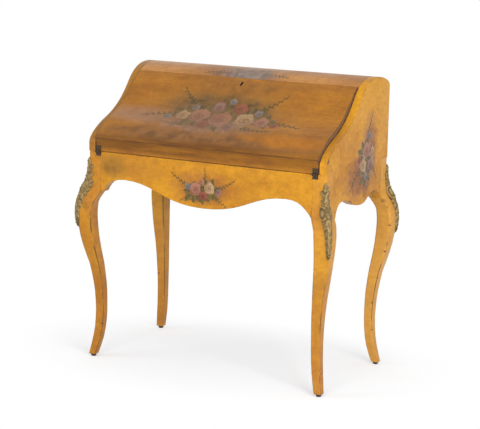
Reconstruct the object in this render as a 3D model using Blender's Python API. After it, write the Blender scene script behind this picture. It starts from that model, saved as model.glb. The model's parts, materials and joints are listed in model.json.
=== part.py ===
"""Lady's fall-front writing desk on cabriole legs.

Metres, +Z up, the front faces -Y, the origin is on the floor under the middle of the case.
The case is a carcase of boards on four legs. A serpentine fall hinges at its lower edge, a lock in
the fall throws a bolt into the top board, and three small drawers slide in the writing compartment.
"""
import math

import bmesh
import bpy

# Overall case
CASE_WIDTH = 0.850
CASE_DEPTH = 0.440
CASE_HEIGHT = 0.9495  # at the crown of the top
JOINT_HEIGHT = 0.685  # top of the aprons, where the fall begins
GLUE_GAP = 0.0003  # between pieces that are seated on each other
RUN_GAP = 0.0015  # over and under the fall, and at the drawers' sides

# Boards
SIDE_THICKNESS = 0.025
TOP_THICKNESS = 0.026  # at the crown
TOP_RAIL_WIDTH = 0.030
BACK_THICKNESS = 0.012
TOP_BACK_LIP = 0.048  # how far the top board comes down behind, from the crown
APRON_THICKNESS = 0.022
BED_THICKNESS = 0.0127
LEDGER = 0.015

# Serpentine outline of the case: setbacks are from the front, drops from the top, rises from the joint
ROLL_SETBACK = 0.345
STEEP_SETBACK = 0.225
STEEP_DROP = 0.063
STEEP_ANGLE = math.radians(53)
SWEEP_SETBACK = 0.090
SWEEP_RISE = 0.0975
SWEEP_ANGLE = math.radians(22)
SIDE_NOSE_RISE = 0.028
CROWN_BACK_DROP = 0.034  # where the crown has rolled over into the back

# Fall
FALL_SIDE_GAP = 0.0025
FALL_PROUD = 0.0135  # how far its show face stands over the side panels' edges
FALL_PROUD_TOP = 0.0025  # the same at its top edge, where it nearly meets the top board
FALL_PROUD_RUN = 0.060  # how far in front of the top edge it stands fully proud
FALL_LIP_FLAT = 0.022  # plain foot of the lip, where the hinges sit
FALL_NOSE = 0.006  # how far the lip's nose stands out in front of the case
FALL_NOSE_RISE = 0.0455
FALL_LIP_SLOPE = math.radians(38)
FALL_FOOT = 0.0185
FALL_WEB = 0.019  # least thickness, in the hollow of the curve
FALL_SETBACK = 0.2575  # its top edge from the front
LEATHER_MARGIN = 0.045
LEATHER_THICKNESS = 0.0015
STOP_WIDTH = 0.012
STOP_DEPTH = 0.010

# Aprons, measured down from the joint
APRON_CENTRE_DROP = 0.145
APRON_ARCH_DROP = 0.084
APRON_ARCH_FROM_POST = 0.090
SIDE_CENTRE_DROP = 0.125
SIDE_ARCH_DROP = 0.0945
SIDE_ARCH_FROM_POST = 0.057  # at the back
SIDE_CENTRE_SHIFT = 0.030  # the skirt hangs lowest a little behind the middle
KNEE_DROP = 0.133  # where the front apron runs into its legs
BACK_KNEE_DROP = 0.127
WING_ARCH_FROM_POST = 0.070  # at the front, where the skirt comes down in a wing beside the leg
WING_WIDTH = 0.0245
WING_DROP = 0.136
WING_KNEE_DROP = 0.158
KNEE_SLOPE = math.radians(54)
KNEE_BLOCK_LENGTH = 0.036
KNEE_BLOCK_HEIGHT = 0.070

# Legs: (height from the floor, corner offset, inner edge) and, from the joint down,
# (drop, corner offset, face-edge offset, inner edge), each measured from the case's corner.
# The front legs' faces are wider than the back legs' by a spread at each drop, for the front and the side.
POST = 0.045
GLIDE_HEIGHT = 0.0045
ANKLE_STATIONS = ((0.0, 0.000, 0.0215), (0.055, -0.0085, 0.0335), (0.105, -0.0144, 0.0402),
                  (0.155, -0.0163, 0.0429), (0.210, -0.0143, 0.0427))
KNEE_STATIONS = ((0.375, -0.0015, -0.0015, 0.0360), (0.325, 0.0114, 0.0110, 0.0292),
                 (0.265, 0.0228, 0.0222, 0.0230), (0.205, 0.0280, 0.0280, 0.0205),
                 (0.170, 0.0256, 0.0236, 0.0230), (0.140, 0.0178, 0.0112, 0.0360),
                 (0.122, 0.0118, 0.0045, 0.0450), (0.105, 0.0066, 0.0012, 0.0450),
                 (0.085, 0.0024, 0.0000, 0.0450), (0.062, 0.0000, 0.0000, 0.0450),
                 (0.000, 0.0000, 0.0000, 0.0450))
FRONT_SPREAD = ((0.000, 0.0000), (0.122, 0.0000), (0.1275, 0.0014), (0.133, 0.0045), (0.145, 0.0068),
                (0.160, 0.0070), (0.180, 0.0055), (0.205, 0.0040), (0.265, 0.0022), (0.375, 0.0020),
                (0.525, 0.0015), (0.685, 0.0005))
SIDE_SPREAD = ((0.000, 0.0000), (0.122, 0.0000), (0.1275, 0.0014), (0.133, 0.0045), (0.140, 0.0088),
               (0.150, 0.0130), (0.160, 0.0125), (0.175, 0.0085), (0.192, 0.0040), (0.210, 0.0000),
               (0.264, -0.0030), (0.300, -0.0045), (0.335, -0.0020), (0.375, -0.0005), (0.525, 0.0000),
               (0.685, 0.0000))
LEG_ROUNDING = 0.16  # of the section's side
POST_ARRIS = 0.0003  # the post's edges are square against the apron and the skirt
POST_SQUARE_DROP = 0.125
LEG_ROUND_DROP = 0.170
LEG_STEPS = 3
GLIDE_RADIUS = 0.0095
GLIDE_FLAT = 0.0075

# Knee mounts: (drop from the mount's top, half width on each face, relief)
MOUNT_TOP_DROP = 0.021
MOUNT_STATIONS = ((0.000, 0.0030, 0.0022), (0.012, 0.0095, 0.0036), (0.028, 0.0175, 0.0046),
                  (0.046, 0.0160, 0.0047), (0.062, 0.0165, 0.0055), (0.080, 0.0215, 0.0067),
                  (0.093, 0.0245, 0.0085), (0.103, 0.0240, 0.0096), (0.118, 0.0190, 0.0077),
                  (0.135, 0.0165, 0.0067), (0.155, 0.0140, 0.0063), (0.180, 0.0110, 0.0061),
                  (0.202, 0.0088, 0.0059), (0.217, 0.0065, 0.0050), (0.229, 0.0020, 0.0028))
MOUNT_EDGE = 0.0012
MOUNT_ROWS = 20

# Hinges
HINGE_WIDTH = 0.018
HINGE_INSET = 0.003  # from the case's inner wall
FIXED_LEAF_LENGTH = 0.0145
MOVING_LEAF_LENGTH = 0.0185
LEAF_THICKNESS = 0.0018
BARREL_RADIUS = 0.0045
PIN_RADIUS = 0.0016
PIN_PLAY = 0.0001

# Lock
LOCK_WIDTH = 0.060
LOCK_LENGTH = 0.042
LOCK_DEPTH = 0.013
BOLT_WIDTH = 0.020
BOLT_LENGTH = 0.032
BOLT_THICKNESS = 0.006
BOLT_PLAY = 0.0004
BOLT_THROW = 0.008
STRIKE_WIDTH = 0.052
STRIKE_HEIGHT = 0.012
STRIKE_THICKNESS = 0.0015
KEYHOLE_DROP = 0.021
KEYHOLE_RADIUS = 0.0034
KEYHOLE_SLOT = 0.0115
KEYHOLE_SLOT_WIDTH = 0.0042

# Writing compartment
DRAWER_SETBACK = 0.275
DRAWER_BAY_HEIGHT = 0.074
DRAWER_FRONT_THICKNESS = 0.012
DRAWER_WALL = 0.007
DRAWER_FLOOR = 0.005
DRAWER_BOX_HEIGHT = 0.060
DRAWER_BACK_GAP = 0.006
DRAWER_COUNT = 3
SHELF_THICKNESS = 0.010
PARTITION_THICKNESS = 0.010
PIGEONHOLE_SETBACK = 0.310
KNOB_RADIUS = 0.0065
KNOB_LENGTH = 0.016

FRONT = -CASE_DEPTH / 2
BACK = CASE_DEPTH / 2
OUTER_X = CASE_WIDTH / 2
INNER_X = OUTER_X - SIDE_THICKNESS
AXIS_Y = FRONT - BARREL_RADIUS - GLUE_GAP
AXIS_Z = JOINT_HEIGHT + RUN_GAP / 2
BED_TOP = JOINT_HEIGHT + GLUE_GAP + BED_THICKNESS
BACK_INNER = BACK - BACK_THICKNESS


def clear_scene():
    for item in list(bpy.data.objects):
        bpy.data.objects.remove(item, do_unlink=True)


def material(name, colour, roughness, metallic=0.0):
    found = bpy.data.materials.get(name)
    if found:
        return found
    made = bpy.data.materials.new(name)
    made.use_nodes = True
    shader = made.node_tree.nodes["Principled BSDF"]
    shader.inputs["Base Color"].default_value = (*colour, 1.0)
    shader.inputs["Roughness"].default_value = roughness
    shader.inputs["Metallic"].default_value = metallic
    return made


def painted_wood():
    return material("painted_wood", (0.60, 0.31, 0.06), 0.4)


def bare_wood():
    return material("bare_wood", (0.30, 0.15, 0.06), 0.55)


def bronze():
    return material("gilt_bronze", (0.45, 0.31, 0.11), 0.35, 1.0)


def dark_iron():
    return material("dark_iron", (0.03, 0.025, 0.02), 0.5, 1.0)


def brass():
    return material("brass", (0.60, 0.42, 0.14), 0.3, 1.0)


def leather():
    return material("leather", (0.16, 0.07, 0.03), 0.6)


def pivot(name, place, tilt=0.0, parent=None):
    """An empty on a joint's axis. Moving pieces hang from it."""
    made = bpy.data.objects.new(name, None)
    made.location = place
    made.rotation_euler = (tilt, 0.0, 0.0)
    made.parent = parent
    bpy.context.collection.objects.link(made)
    return made


def finish(name, mesh, surface, parent=None):
    bmesh.ops.remove_doubles(mesh, verts=mesh.verts, dist=1e-6)
    bmesh.ops.recalc_face_normals(mesh, faces=mesh.faces)
    data = bpy.data.meshes.new(name)
    mesh.to_mesh(data)
    mesh.free()
    data.materials.append(surface)
    made = bpy.data.objects.new(name, data)
    made.parent = parent
    bpy.context.collection.objects.link(made)
    return made


def loft(name, rings, surface, parent=None):
    """Joins rings of points, each with the same count, and closes both ends."""
    mesh = bmesh.new()
    rows = [[mesh.verts.new(point) for point in ring] for ring in rings]
    count = len(rows[0])
    for low, high in zip(rows, rows[1:]):
        for i in range(count):
            j = (i + 1) % count
            mesh.faces.new((low[i], low[j], high[j], high[i]))
    mesh.faces.new(rows[0])
    mesh.faces.new(rows[-1])
    return finish(name, mesh, surface, parent)


def prism(name, outline, axis, start, end, surface, parent=None):
    """Extrudes an outline along an axis. The outline has the other two coordinates, in order."""
    def place(point, along):
        full = list(point)
        full.insert("XYZ".index(axis), along)
        return full
    rings = [[place(point, along) for point in outline] for along in (start, end)]
    return loft(name, rings, surface, parent)


def board(name, x, y, z, surface, parent=None):
    outline = [(y[0], z[0]), (y[1], z[0]), (y[1], z[1]), (y[0], z[1])]
    return prism(name, outline, "X", x[0], x[1], surface, parent)


def turned(name, profile, segments, place, surface, parent=None):
    """A turned solid from (radius, distance) pairs. place maps (a, b, distance) to a point."""
    rings = []
    for radius, distance in profile:
        ring = []
        for i in range(segments):
            turn = 2 * math.pi * i / segments
            ring.append(place(radius * math.cos(turn), radius * math.sin(turn), distance))
        rings.append(ring)
    return loft(name, rings, surface, parent)


def cut(target, cutter):
    cutter.hide_render = True
    cutter.display_type = "WIRE"
    step = target.modifiers.new(cutter.name, "BOOLEAN")
    step.operation = "DIFFERENCE"
    step.solver = "EXACT"
    step.object = cutter


def curve(start, leave, arrive, end, steps):
    """A cubic from start to end, without its last point."""
    points = []
    for i in range(steps):
        t = i / steps
        weights = ((1 - t) ** 3, 3 * t * (1 - t) ** 2, 3 * t * t * (1 - t), t ** 3)
        knots = (start, leave, arrive, end)
        points.append(tuple(sum(w * k[a] for w, k in zip(weights, knots)) for a in (0, 1)))
    return points


def toward(point, angle, length):
    return (point[0] + length * math.cos(angle), point[1] + length * math.sin(angle))


def smooth(stations, at):
    """Values at a place in a table of stations, by a cubic through them that doesn't overshoot."""
    places = [row[0] for row in stations]
    at = min(max(at, places[0]), places[-1])
    i = max(k for k in range(len(places) - 1) if places[k] <= at)
    span = places[i + 1] - places[i]
    t = (at - places[i]) / span

    def slope(k, column):
        if k in (0, len(places) - 1):
            return 0.0
        before = (stations[k][column] - stations[k - 1][column]) / (places[k] - places[k - 1])
        after = (stations[k + 1][column] - stations[k][column]) / (places[k + 1] - places[k])
        return 0.0 if before * after <= 0 else 2 * before * after / (before + after)
    values = []
    for column in range(1, len(stations[0])):
        a, b = stations[i][column], stations[i + 1][column]
        m, n = slope(i, column) * span, slope(i + 1, column) * span
        values.append(a + m * t + (3 * (b - a) - 2 * m - n) * t ** 2 + (2 * (a - b) + m + n) * t ** 3)
    return values


def ogee():
    """The S-shaped outline from the sweep's middle up to the crown of the top, as (y, z)."""
    sweep = (FRONT + SWEEP_SETBACK, JOINT_HEIGHT + SWEEP_RISE)
    steep = (FRONT + STEEP_SETBACK, CASE_HEIGHT - STEEP_DROP)
    roll = (FRONT + ROLL_SETBACK, CASE_HEIGHT)
    lower = curve(sweep, toward(sweep, SWEEP_ANGLE, 0.060),
                  toward(steep, STEEP_ANGLE + math.pi, 0.062), steep, 10)
    upper = curve(steep, toward(steep, STEEP_ANGLE, 0.035), toward(roll, math.pi, 0.066), roll, 10)
    return lower + upper + [roll]


def side_nose():
    """The side panel's round front corner, from the front edge up to the sweep."""
    start = (FRONT, JOINT_HEIGHT + SIDE_NOSE_RISE)
    sweep = (FRONT + SWEEP_SETBACK, JOINT_HEIGHT + SWEEP_RISE)
    return curve(start, toward(start, math.pi / 2, 0.022),
                 toward(sweep, SWEEP_ANGLE + math.pi, 0.045), sweep, 9)


def fall_face():
    """The fall's show face, from its lip up, standing proud of the side panels."""
    raised = []
    line = ogee()
    for i, point in enumerate(line):
        before, after = line[max(i - 1, 0)], line[min(i + 1, len(line) - 1)]
        lean = math.atan2(after[1] - before[1], after[0] - before[0])
        share = min(max((FRONT + FALL_SETBACK - point[0]) / FALL_PROUD_RUN, 0.0), 1.0)
        proud = FALL_PROUD_TOP + (FALL_PROUD - FALL_PROUD_TOP) * share * share * (3 - 2 * share)
        raised.append(toward(point, lean + math.pi / 2, proud))
    flat = (FRONT, JOINT_HEIGHT + FALL_LIP_FLAT)
    nose = (FRONT - FALL_NOSE, JOINT_HEIGHT + FALL_NOSE_RISE)
    crease = (nose[0] + FALL_NOSE, nose[1] + 1.3 * FALL_NOSE)
    hollow = curve(flat, toward(flat, math.pi / 2, 0.012),
                   toward(nose, math.radians(-62), 0.007), nose, 5)
    turn = curve(nose, toward(nose, math.radians(105), 0.003),
                 toward(crease, FALL_LIP_SLOPE + math.pi, 0.003), crease, 3)
    run = curve(crease, toward(crease, FALL_LIP_SLOPE, 0.025),
                toward(raised[0], SWEEP_ANGLE + math.pi, 0.030), raised[0], 8)
    return hollow + turn + run + raised


def fall_tilt():
    """The writing face's slope when shut: as steep as leaves the fall its least thickness."""
    foot = (FRONT + FALL_FOOT, JOINT_HEIGHT)
    slopes = []
    for y, z in fall_face():
        reach = math.hypot(y - foot[0], z - foot[1])
        if FRONT + SWEEP_SETBACK / 2 < y < FRONT + FALL_SETBACK:
            slopes.append(math.atan2(z - foot[1], y - foot[0]) - math.asin(FALL_WEB / reach))
    return min(slopes)


TILT = fall_tilt()


def to_fall(y, z):
    """World (y, z) to the fall's own (up the slope, out of the writing face)."""
    dy, dz = y - AXIS_Y, z - AXIS_Z
    return (dy * math.cos(TILT) + dz * math.sin(TILT), dz * math.cos(TILT) - dy * math.sin(TILT))


def from_fall(up, out):
    return (AXIS_Y + up * math.cos(TILT) - out * math.sin(TILT),
            AXIS_Z + up * math.sin(TILT) + out * math.cos(TILT))


WRITING_FACE = to_fall(FRONT + FALL_FOOT, JOINT_HEIGHT)[1]


def height_at(line, y):
    """Height of a rising outline at y."""
    for a, b in zip(line, line[1:]):
        if a[0] <= y <= b[0]:
            return a[1] + (b[1] - a[1]) * (y - a[0]) / (b[0] - a[0])
    return line[-1][1]


FALL_END = to_fall(FRONT + FALL_SETBACK, height_at(fall_face(), FRONT + FALL_SETBACK))[0]


def split_by_slope(points, up):
    """Divides points in the fall's own frame where they pass a distance up the slope."""
    below = [p for p in points if p[0] < up]
    above = [p for p in points if p[0] > up]
    a, b = below[-1], above[0]
    share = (up - a[0]) / (b[0] - a[0])
    return below, (up, a[1] + share * (b[1] - a[1])), above


def knee_edge(arch, post, drop):
    """The lower edge from an arch's crown to the post, as (distance from the middle, z)."""
    end = (post, JOINT_HEIGHT - drop)
    run = post - arch[0]
    arrive = toward(end, math.pi - KNEE_SLOPE, 0.020)
    return curve(arch, (arch[0] + 0.62 * run, arch[1]), arrive, end, 7) + [end]


def wing_edge(arch, post):
    """The skirt's lower edge from its front arch down a wing beside the leg and in to the post."""
    wing = (post - WING_WIDTH, JOINT_HEIGHT - WING_DROP)
    end = (post, JOINT_HEIGHT - WING_KNEE_DROP)
    down = curve(arch, (arch[0] + 0.030, arch[1]), toward(wing, math.radians(97), 0.016), wing, 7)
    leave, arrive = toward(wing, math.radians(-80), 0.012), toward(end, math.radians(125), 0.010)
    return down + curve(wing, leave, arrive, end, 5) + [end]


def lower_edge(start, arch, centre_drop, knee):
    """Half of a shaped lower edge, from its lowest point out over an arch's crown and down a knee."""
    centre = (start, JOINT_HEIGHT - centre_drop)
    run = arch[0] - start
    return curve(centre, (start + 0.52 * run, centre[1]), (start + 0.60 * run, arch[1]), arch, 10) + knee


def mirrored(half):
    """A whole edge from its half, from the negative end to the positive one."""
    return [(-a, b) for a, b in reversed(half[1:])] + half


def apron_edge(end):
    """Half of the front (-1) or the back (1) apron's lower edge."""
    post = OUTER_X - POST
    arch = (post - APRON_ARCH_FROM_POST, JOINT_HEIGHT - APRON_ARCH_DROP)
    knee = knee_edge(arch, post, KNEE_DROP if end < 0 else BACK_KNEE_DROP)
    return lower_edge(0.0, arch, APRON_CENTRE_DROP, knee)


def side_edge(end):
    """The skirt's edge toward the front (-1) or the back (1), as distances from the middle."""
    post = BACK - POST
    reach = WING_ARCH_FROM_POST if end < 0 else SIDE_ARCH_FROM_POST
    arch = (post - reach, JOINT_HEIGHT - SIDE_ARCH_DROP)
    knee = wing_edge(arch, post) if end < 0 else knee_edge(arch, post, BACK_KNEE_DROP)
    return lower_edge(end * SIDE_CENTRE_SHIFT, arch, SIDE_CENTRE_DROP, knee)


def trimmed(half, gap):
    """Draws an edge's ends in by a gap, so that a board stops short of the posts."""
    return half[:-1] + [(half[-1][0] - gap, half[-1][1])]


def crown():
    """The top's outline from its crown back and down into the back, as (y, z)."""
    peak = (FRONT + ROLL_SETBACK, CASE_HEIGHT)
    end = (BACK, CASE_HEIGHT - CROWN_BACK_DROP)
    return curve(peak, toward(peak, 0.0, 0.042), toward(end, math.pi / 2, 0.018), end, 10)[1:] + [end]


def build_side_panels():
    """Each side is one board: it stands on the posts and its skirt hangs between them."""
    seat = JOINT_HEIGHT + GLUE_GAP
    front_half, back_half = (trimmed(side_edge(end), GLUE_GAP) for end in (-1, 1))
    outline = [(-y, z) for y, z in reversed(front_half[1:])] + back_half
    post = BACK - POST - GLUE_GAP
    outline += [(post, seat), (BACK, seat)]
    outline += list(reversed(crown()))
    outline += list(reversed(side_nose() + ogee()))
    outline += [(FRONT, seat), (-post, seat)]
    for side, name in ((-1, "left"), (1, "right")):
        prism(name + "_side_panel", outline, "X", side * INNER_X, side * OUTER_X, painted_wood())


def build_top_board():
    """The crowned top, its front rail closing on the fall's upper edge."""
    face = [to_fall(y, z) for y, z in ogee()]
    _, corner, above = split_by_slope(face, FALL_END + RUN_GAP)
    rail = from_fall(FALL_END + RUN_GAP, WRITING_FACE)
    under = CASE_HEIGHT - TOP_THICKNESS
    lip = CASE_HEIGHT - TOP_BACK_LIP
    outline = [from_fall(*corner)] + [from_fall(*p) for p in above] + crown()
    outline += [(BACK, lip), (BACK_INNER, lip), (BACK_INNER, under), (rail[0] + TOP_RAIL_WIDTH, under)]
    outline += [(rail[0] + TOP_RAIL_WIDTH, rail[1]), rail]
    half = INNER_X - GLUE_GAP
    top = prism("top_board", outline, "X", -half, half, painted_wood())
    frame = pivot("top_rail_frame", (0.0, AXIS_Y, AXIS_Z), TILT)
    lock_up = FALL_END + RUN_GAP
    middle = WRITING_FACE + LOCK_DEPTH / 2
    room = STRIKE_HEIGHT / 2 + GLUE_GAP
    cut(top, board("strike_bed", (-STRIKE_WIDTH / 2 - GLUE_GAP, STRIKE_WIDTH / 2 + GLUE_GAP),
                   (lock_up - 0.010, lock_up + STRIKE_THICKNESS + GLUE_GAP),
                   (middle - room, middle + room), bare_wood(), frame))
    slot = BOLT_THICKNESS / 2 + 2 * BOLT_PLAY
    half = BOLT_WIDTH / 2 + 2 * BOLT_PLAY
    pocket = lock_up + BOLT_THROW + 0.002
    cut(top, board("bolt_pocket", (-half, half), (lock_up - 0.010, pocket),
                   (middle - slot, middle + slot), bare_wood(), frame))
    strike = board("strike_plate", (-STRIKE_WIDTH / 2, STRIKE_WIDTH / 2),
                   (lock_up, lock_up + STRIKE_THICKNESS),
                   (middle - STRIKE_HEIGHT / 2, middle + STRIKE_HEIGHT / 2), brass(), frame)
    cut(strike, board("strike_slot", (-half, half), (lock_up - 0.010, pocket),
                      (middle - slot, middle + slot), brass(), frame))


def build_aprons():
    """Front and back aprons between the posts."""
    end = OUTER_X - POST - GLUE_GAP
    for side, name in ((-1, "front"), (1, "back")):
        outline = mirrored(trimmed(apron_edge(side), GLUE_GAP))
        outline += [(end, JOINT_HEIGHT), (-end, JOINT_HEIGHT)]
        prism(name + "_apron", outline, "Y", side * BACK, side * (BACK - APRON_THICKNESS),
              painted_wood())


def build_knee_blocks():
    """Tapered blocks glued behind the aprons and skirts carry the knees' curve inward."""
    top = JOINT_HEIGHT - KNEE_DROP + KNEE_BLOCK_HEIGHT
    for end, length in ((-1, "front"), (1, "back")):
        for side, width in ((-1, "left"), (1, "right")):
            for facing in ("apron", "skirt"):
                half = apron_edge(end) if facing == "apron" else side_edge(end)
                wall = BACK - APRON_THICKNESS if facing == "apron" else INNER_X
                depth = wall - GLUE_GAP - ((BACK if facing == "apron" else OUTER_X) - POST)
                post = half[-1][0] - GLUE_GAP
                start = post - KNEE_BLOCK_LENGTH
                places = [start] + [p[0] for p in half if start + 0.002 < p[0] < post - 0.002] + [post]
                rings = []
                for place in places:
                    share = (place - start) / KNEE_BLOCK_LENGTH
                    low = height_along(half, place)
                    near = wall - GLUE_GAP
                    far = near - depth * (0.15 + 0.85 * share)
                    ring = []
                    for across, z in ((near, low), (far, low), (far, top), (near, top)):
                        flat = (place, across) if facing == "apron" else (across, place)
                        ring.append((side * flat[0], end * flat[1], z))
                    rings.append(ring)
                name = "_".join((length, width, facing, "knee_block"))
                loft(name, rings, bare_wood())


def height_along(half, place):
    """Height of a half edge at a distance from the middle."""
    for a, b in zip(half, half[1:]):
        if a[0] <= place <= b[0]:
            return a[1] + (b[1] - a[1]) * (place - a[0]) / max(b[0] - a[0], 1e-9)
    return half[-1][1]


def leg_stations():
    rows = [(z, o, o, i) for z, o, i in ANKLE_STATIONS]
    return rows + [(JOINT_HEIGHT - drop, o, f, i) for drop, o, f, i in KNEE_STATIONS]


def leg_corners(z, end):
    """The leg's section as four corners out from the case's corner: outer, front, inner, side."""
    o, f, i = smooth(leg_stations(), z)
    front, side = 0.0, 0.0
    if end < 0:
        front, side = (smooth(table, JOINT_HEIGHT - z)[0] for table in (FRONT_SPREAD, SIDE_SPREAD))
    return ((o, o), (-i - front, f), (-i, -i), (f, -i - side))


def leg_section(z, end):
    corners = leg_corners(z, end)
    side = math.dist(corners[0], corners[1])
    rounded = (JOINT_HEIGHT - z - POST_SQUARE_DROP) / (LEG_ROUND_DROP - POST_SQUARE_DROP)
    square = max(LEG_ROUNDING * side * min(rounded, 1.0), POST_ARRIS)
    points = []
    for k in range(4):
        cutback = square if k in (1, 3) else LEG_ROUNDING * side
        here, before, after = corners[k], corners[k - 1], corners[(k + 1) % 4]
        come = [here[a] + (before[a] - here[a]) * cutback / math.dist(here, before) for a in (0, 1)]
        leave = [here[a] + (after[a] - here[a]) * cutback / math.dist(here, after) for a in (0, 1)]
        for n in range(LEG_STEPS + 1):
            t = n / LEG_STEPS
            points.append([come[a] * (1 - t) ** 2 + 2 * here[a] * t * (1 - t) + leave[a] * t * t
                           for a in (0, 1)])
    return points


def mount_heights():
    """Heights of the mount's rows from its lower tip up. The leg has rows at the same heights."""
    top = JOINT_HEIGHT - MOUNT_TOP_DROP
    reach = MOUNT_STATIONS[-1][0]
    return [top - reach * (1 - n / MOUNT_ROWS) for n in range(MOUNT_ROWS + 1)]


def build_legs():
    """Cabriole legs: a post behind the apron, a bold knee, a thin ankle and a small flared foot."""
    low = GLIDE_HEIGHT
    tip = mount_heights()[0]
    steps = 14
    heights = [low + (tip - low) * n / steps for n in range(steps)] + mount_heights() + [JOINT_HEIGHT]
    for end, length in ((-1, "front"), (1, "back")):
        for side, width in ((-1, "left"), (1, "right")):
            rings = []
            for z in heights:
                rings.append([(side * (OUTER_X + p), end * (BACK + q), z) for p, q in leg_section(z, end)])
            loft("_".join((length, width, "leg")), rings, painted_wood())
            build_glide(length, width, side, end)
            build_knee_mount(length, width, side, end)


def build_glide(length, width, side, end):
    """A domed furniture nail under the foot."""
    corners = leg_corners(GLIDE_HEIGHT, end)
    middle = (corners[0][0] + corners[2][0]) / 2
    top = GLIDE_HEIGHT - GLUE_GAP
    profile = [(GLIDE_FLAT, 0.0), (GLIDE_RADIUS - 0.0005, top * 0.45), (GLIDE_RADIUS, top)]

    def place(a, b, distance):
        return (side * (OUTER_X + middle) + a, end * (BACK + middle) + b, distance)
    turned("_".join((length, width, "glide")), profile, 20, place, dark_iron())


def build_knee_mount(length, width, side, end):
    """A cast leaf mount bent round the knee's outer corner, hollow behind."""
    across = 8
    rings = []
    for z in mount_heights():
        half, relief = smooth(MOUNT_STATIONS, mount_heights()[-1] - z)
        corners = leg_corners(z, end)
        inner, outer = [], []
        for k in range(across + 1):
            share = 2 * k / across - 1
            inner.append(mount_point(corners, share, half, GLUE_GAP))
            rise = MOUNT_EDGE + (relief - MOUNT_EDGE) * (1 - share * share)
            outer.append(mount_point(corners, share, half, GLUE_GAP + rise))
        flat = outer + list(reversed(inner))
        rings.append([(side * (OUTER_X + p), end * (BACK + q), z) for p, q in flat])
    loft("_".join((length, width, "knee_mount")), rings, bronze())


def mount_point(corners, share, half, lift):
    """A point over the knee's corner: share runs from the front face (-1) to the side face (1)."""
    corner = corners[0]
    face = corners[1] if share < 0 else corners[3]
    run = math.dist(corner, face)
    along = [(face[a] - corner[a]) / run for a in (0, 1)]
    normal = (-along[1], along[0]) if share > 0 else (along[1], -along[0])
    both = (math.sqrt(0.5), math.sqrt(0.5))
    mix = min(1.0, abs(share) * 1.6)
    lean = [normal[a] * mix + both[a] * (1 - mix) for a in (0, 1)]
    size = math.hypot(*lean)
    gain = lift / max((lean[0] * normal[0] + lean[1] * normal[1]) / size, 0.7)
    return [corner[a] + along[a] * half * abs(share) + lean[a] / size * gain for a in (0, 1)]


def build_back_and_bed():
    half = INNER_X - GLUE_GAP
    seat = JOINT_HEIGHT + GLUE_GAP
    board("back_panel", (-half, half), (BACK_INNER, BACK),
          (seat, CASE_HEIGHT - TOP_BACK_LIP - GLUE_GAP), bare_wood())
    clear = (BED_TOP - JOINT_HEIGHT) / math.tan(TILT)
    bed_front = FRONT + FALL_FOOT + clear + RUN_GAP
    board("writing_bed", (-half, half), (bed_front, BACK_INNER - GLUE_GAP), (seat, BED_TOP),
          bare_wood())
    low = JOINT_HEIGHT - LEDGER
    for side, name in ((-1, "left"), (1, "right")):
        wall = side * half
        board(name + "_bed_ledger", (min(wall, wall - side * LEDGER), max(wall, wall - side * LEDGER)),
              (POST + FRONT + GLUE_GAP, BACK - POST - GLUE_GAP), (low, JOINT_HEIGHT), bare_wood())
    inside = FRONT + APRON_THICKNESS + GLUE_GAP
    end = OUTER_X - POST - GLUE_GAP
    board("front_bed_ledger", (-end, end), (inside, FRONT + POST), (low, JOINT_HEIGHT), bare_wood())


def build_fall():
    """The fall in its own frame on the hinge axis: Y runs up the slope, Z out of the case."""
    hang = pivot("fall_pivot", (0.0, AXIS_Y, AXIS_Z), TILT)
    face = [to_fall(y, z) for y, z in fall_face()]
    below, corner, _ = split_by_slope(face, FALL_END)
    under = JOINT_HEIGHT + RUN_GAP
    toe = to_fall(FRONT, under)
    heel_y = FRONT + FALL_FOOT + (under - JOINT_HEIGHT) / math.tan(TILT)
    outline = [toe] + below + [corner, (FALL_END, WRITING_FACE), to_fall(heel_y, under)]
    half = INNER_X - FALL_SIDE_GAP
    fall = prism("fall_panel", outline, "X", -half, half, painted_wood(), hang)
    build_leather(fall, hang, half)
    build_lock(fall, hang)
    build_fall_stops(half)
    return hang


def build_leather(fall, hang, half):
    """A writing leather let into the fall's inner face."""
    edge = half - LEATHER_MARGIN
    low = LEATHER_MARGIN
    high = FALL_END - LOCK_LENGTH - 0.018
    depth = LEATHER_THICKNESS + GLUE_GAP
    cut(fall, board("leather_bed", (-edge - GLUE_GAP, edge + GLUE_GAP), (low - GLUE_GAP, high + GLUE_GAP),
                    (WRITING_FACE - 0.010, WRITING_FACE + depth), bare_wood(), hang))
    board("writing_leather", (-edge, edge), (low, high),
          (WRITING_FACE, WRITING_FACE + LEATHER_THICKNESS), leather(), hang)


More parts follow.
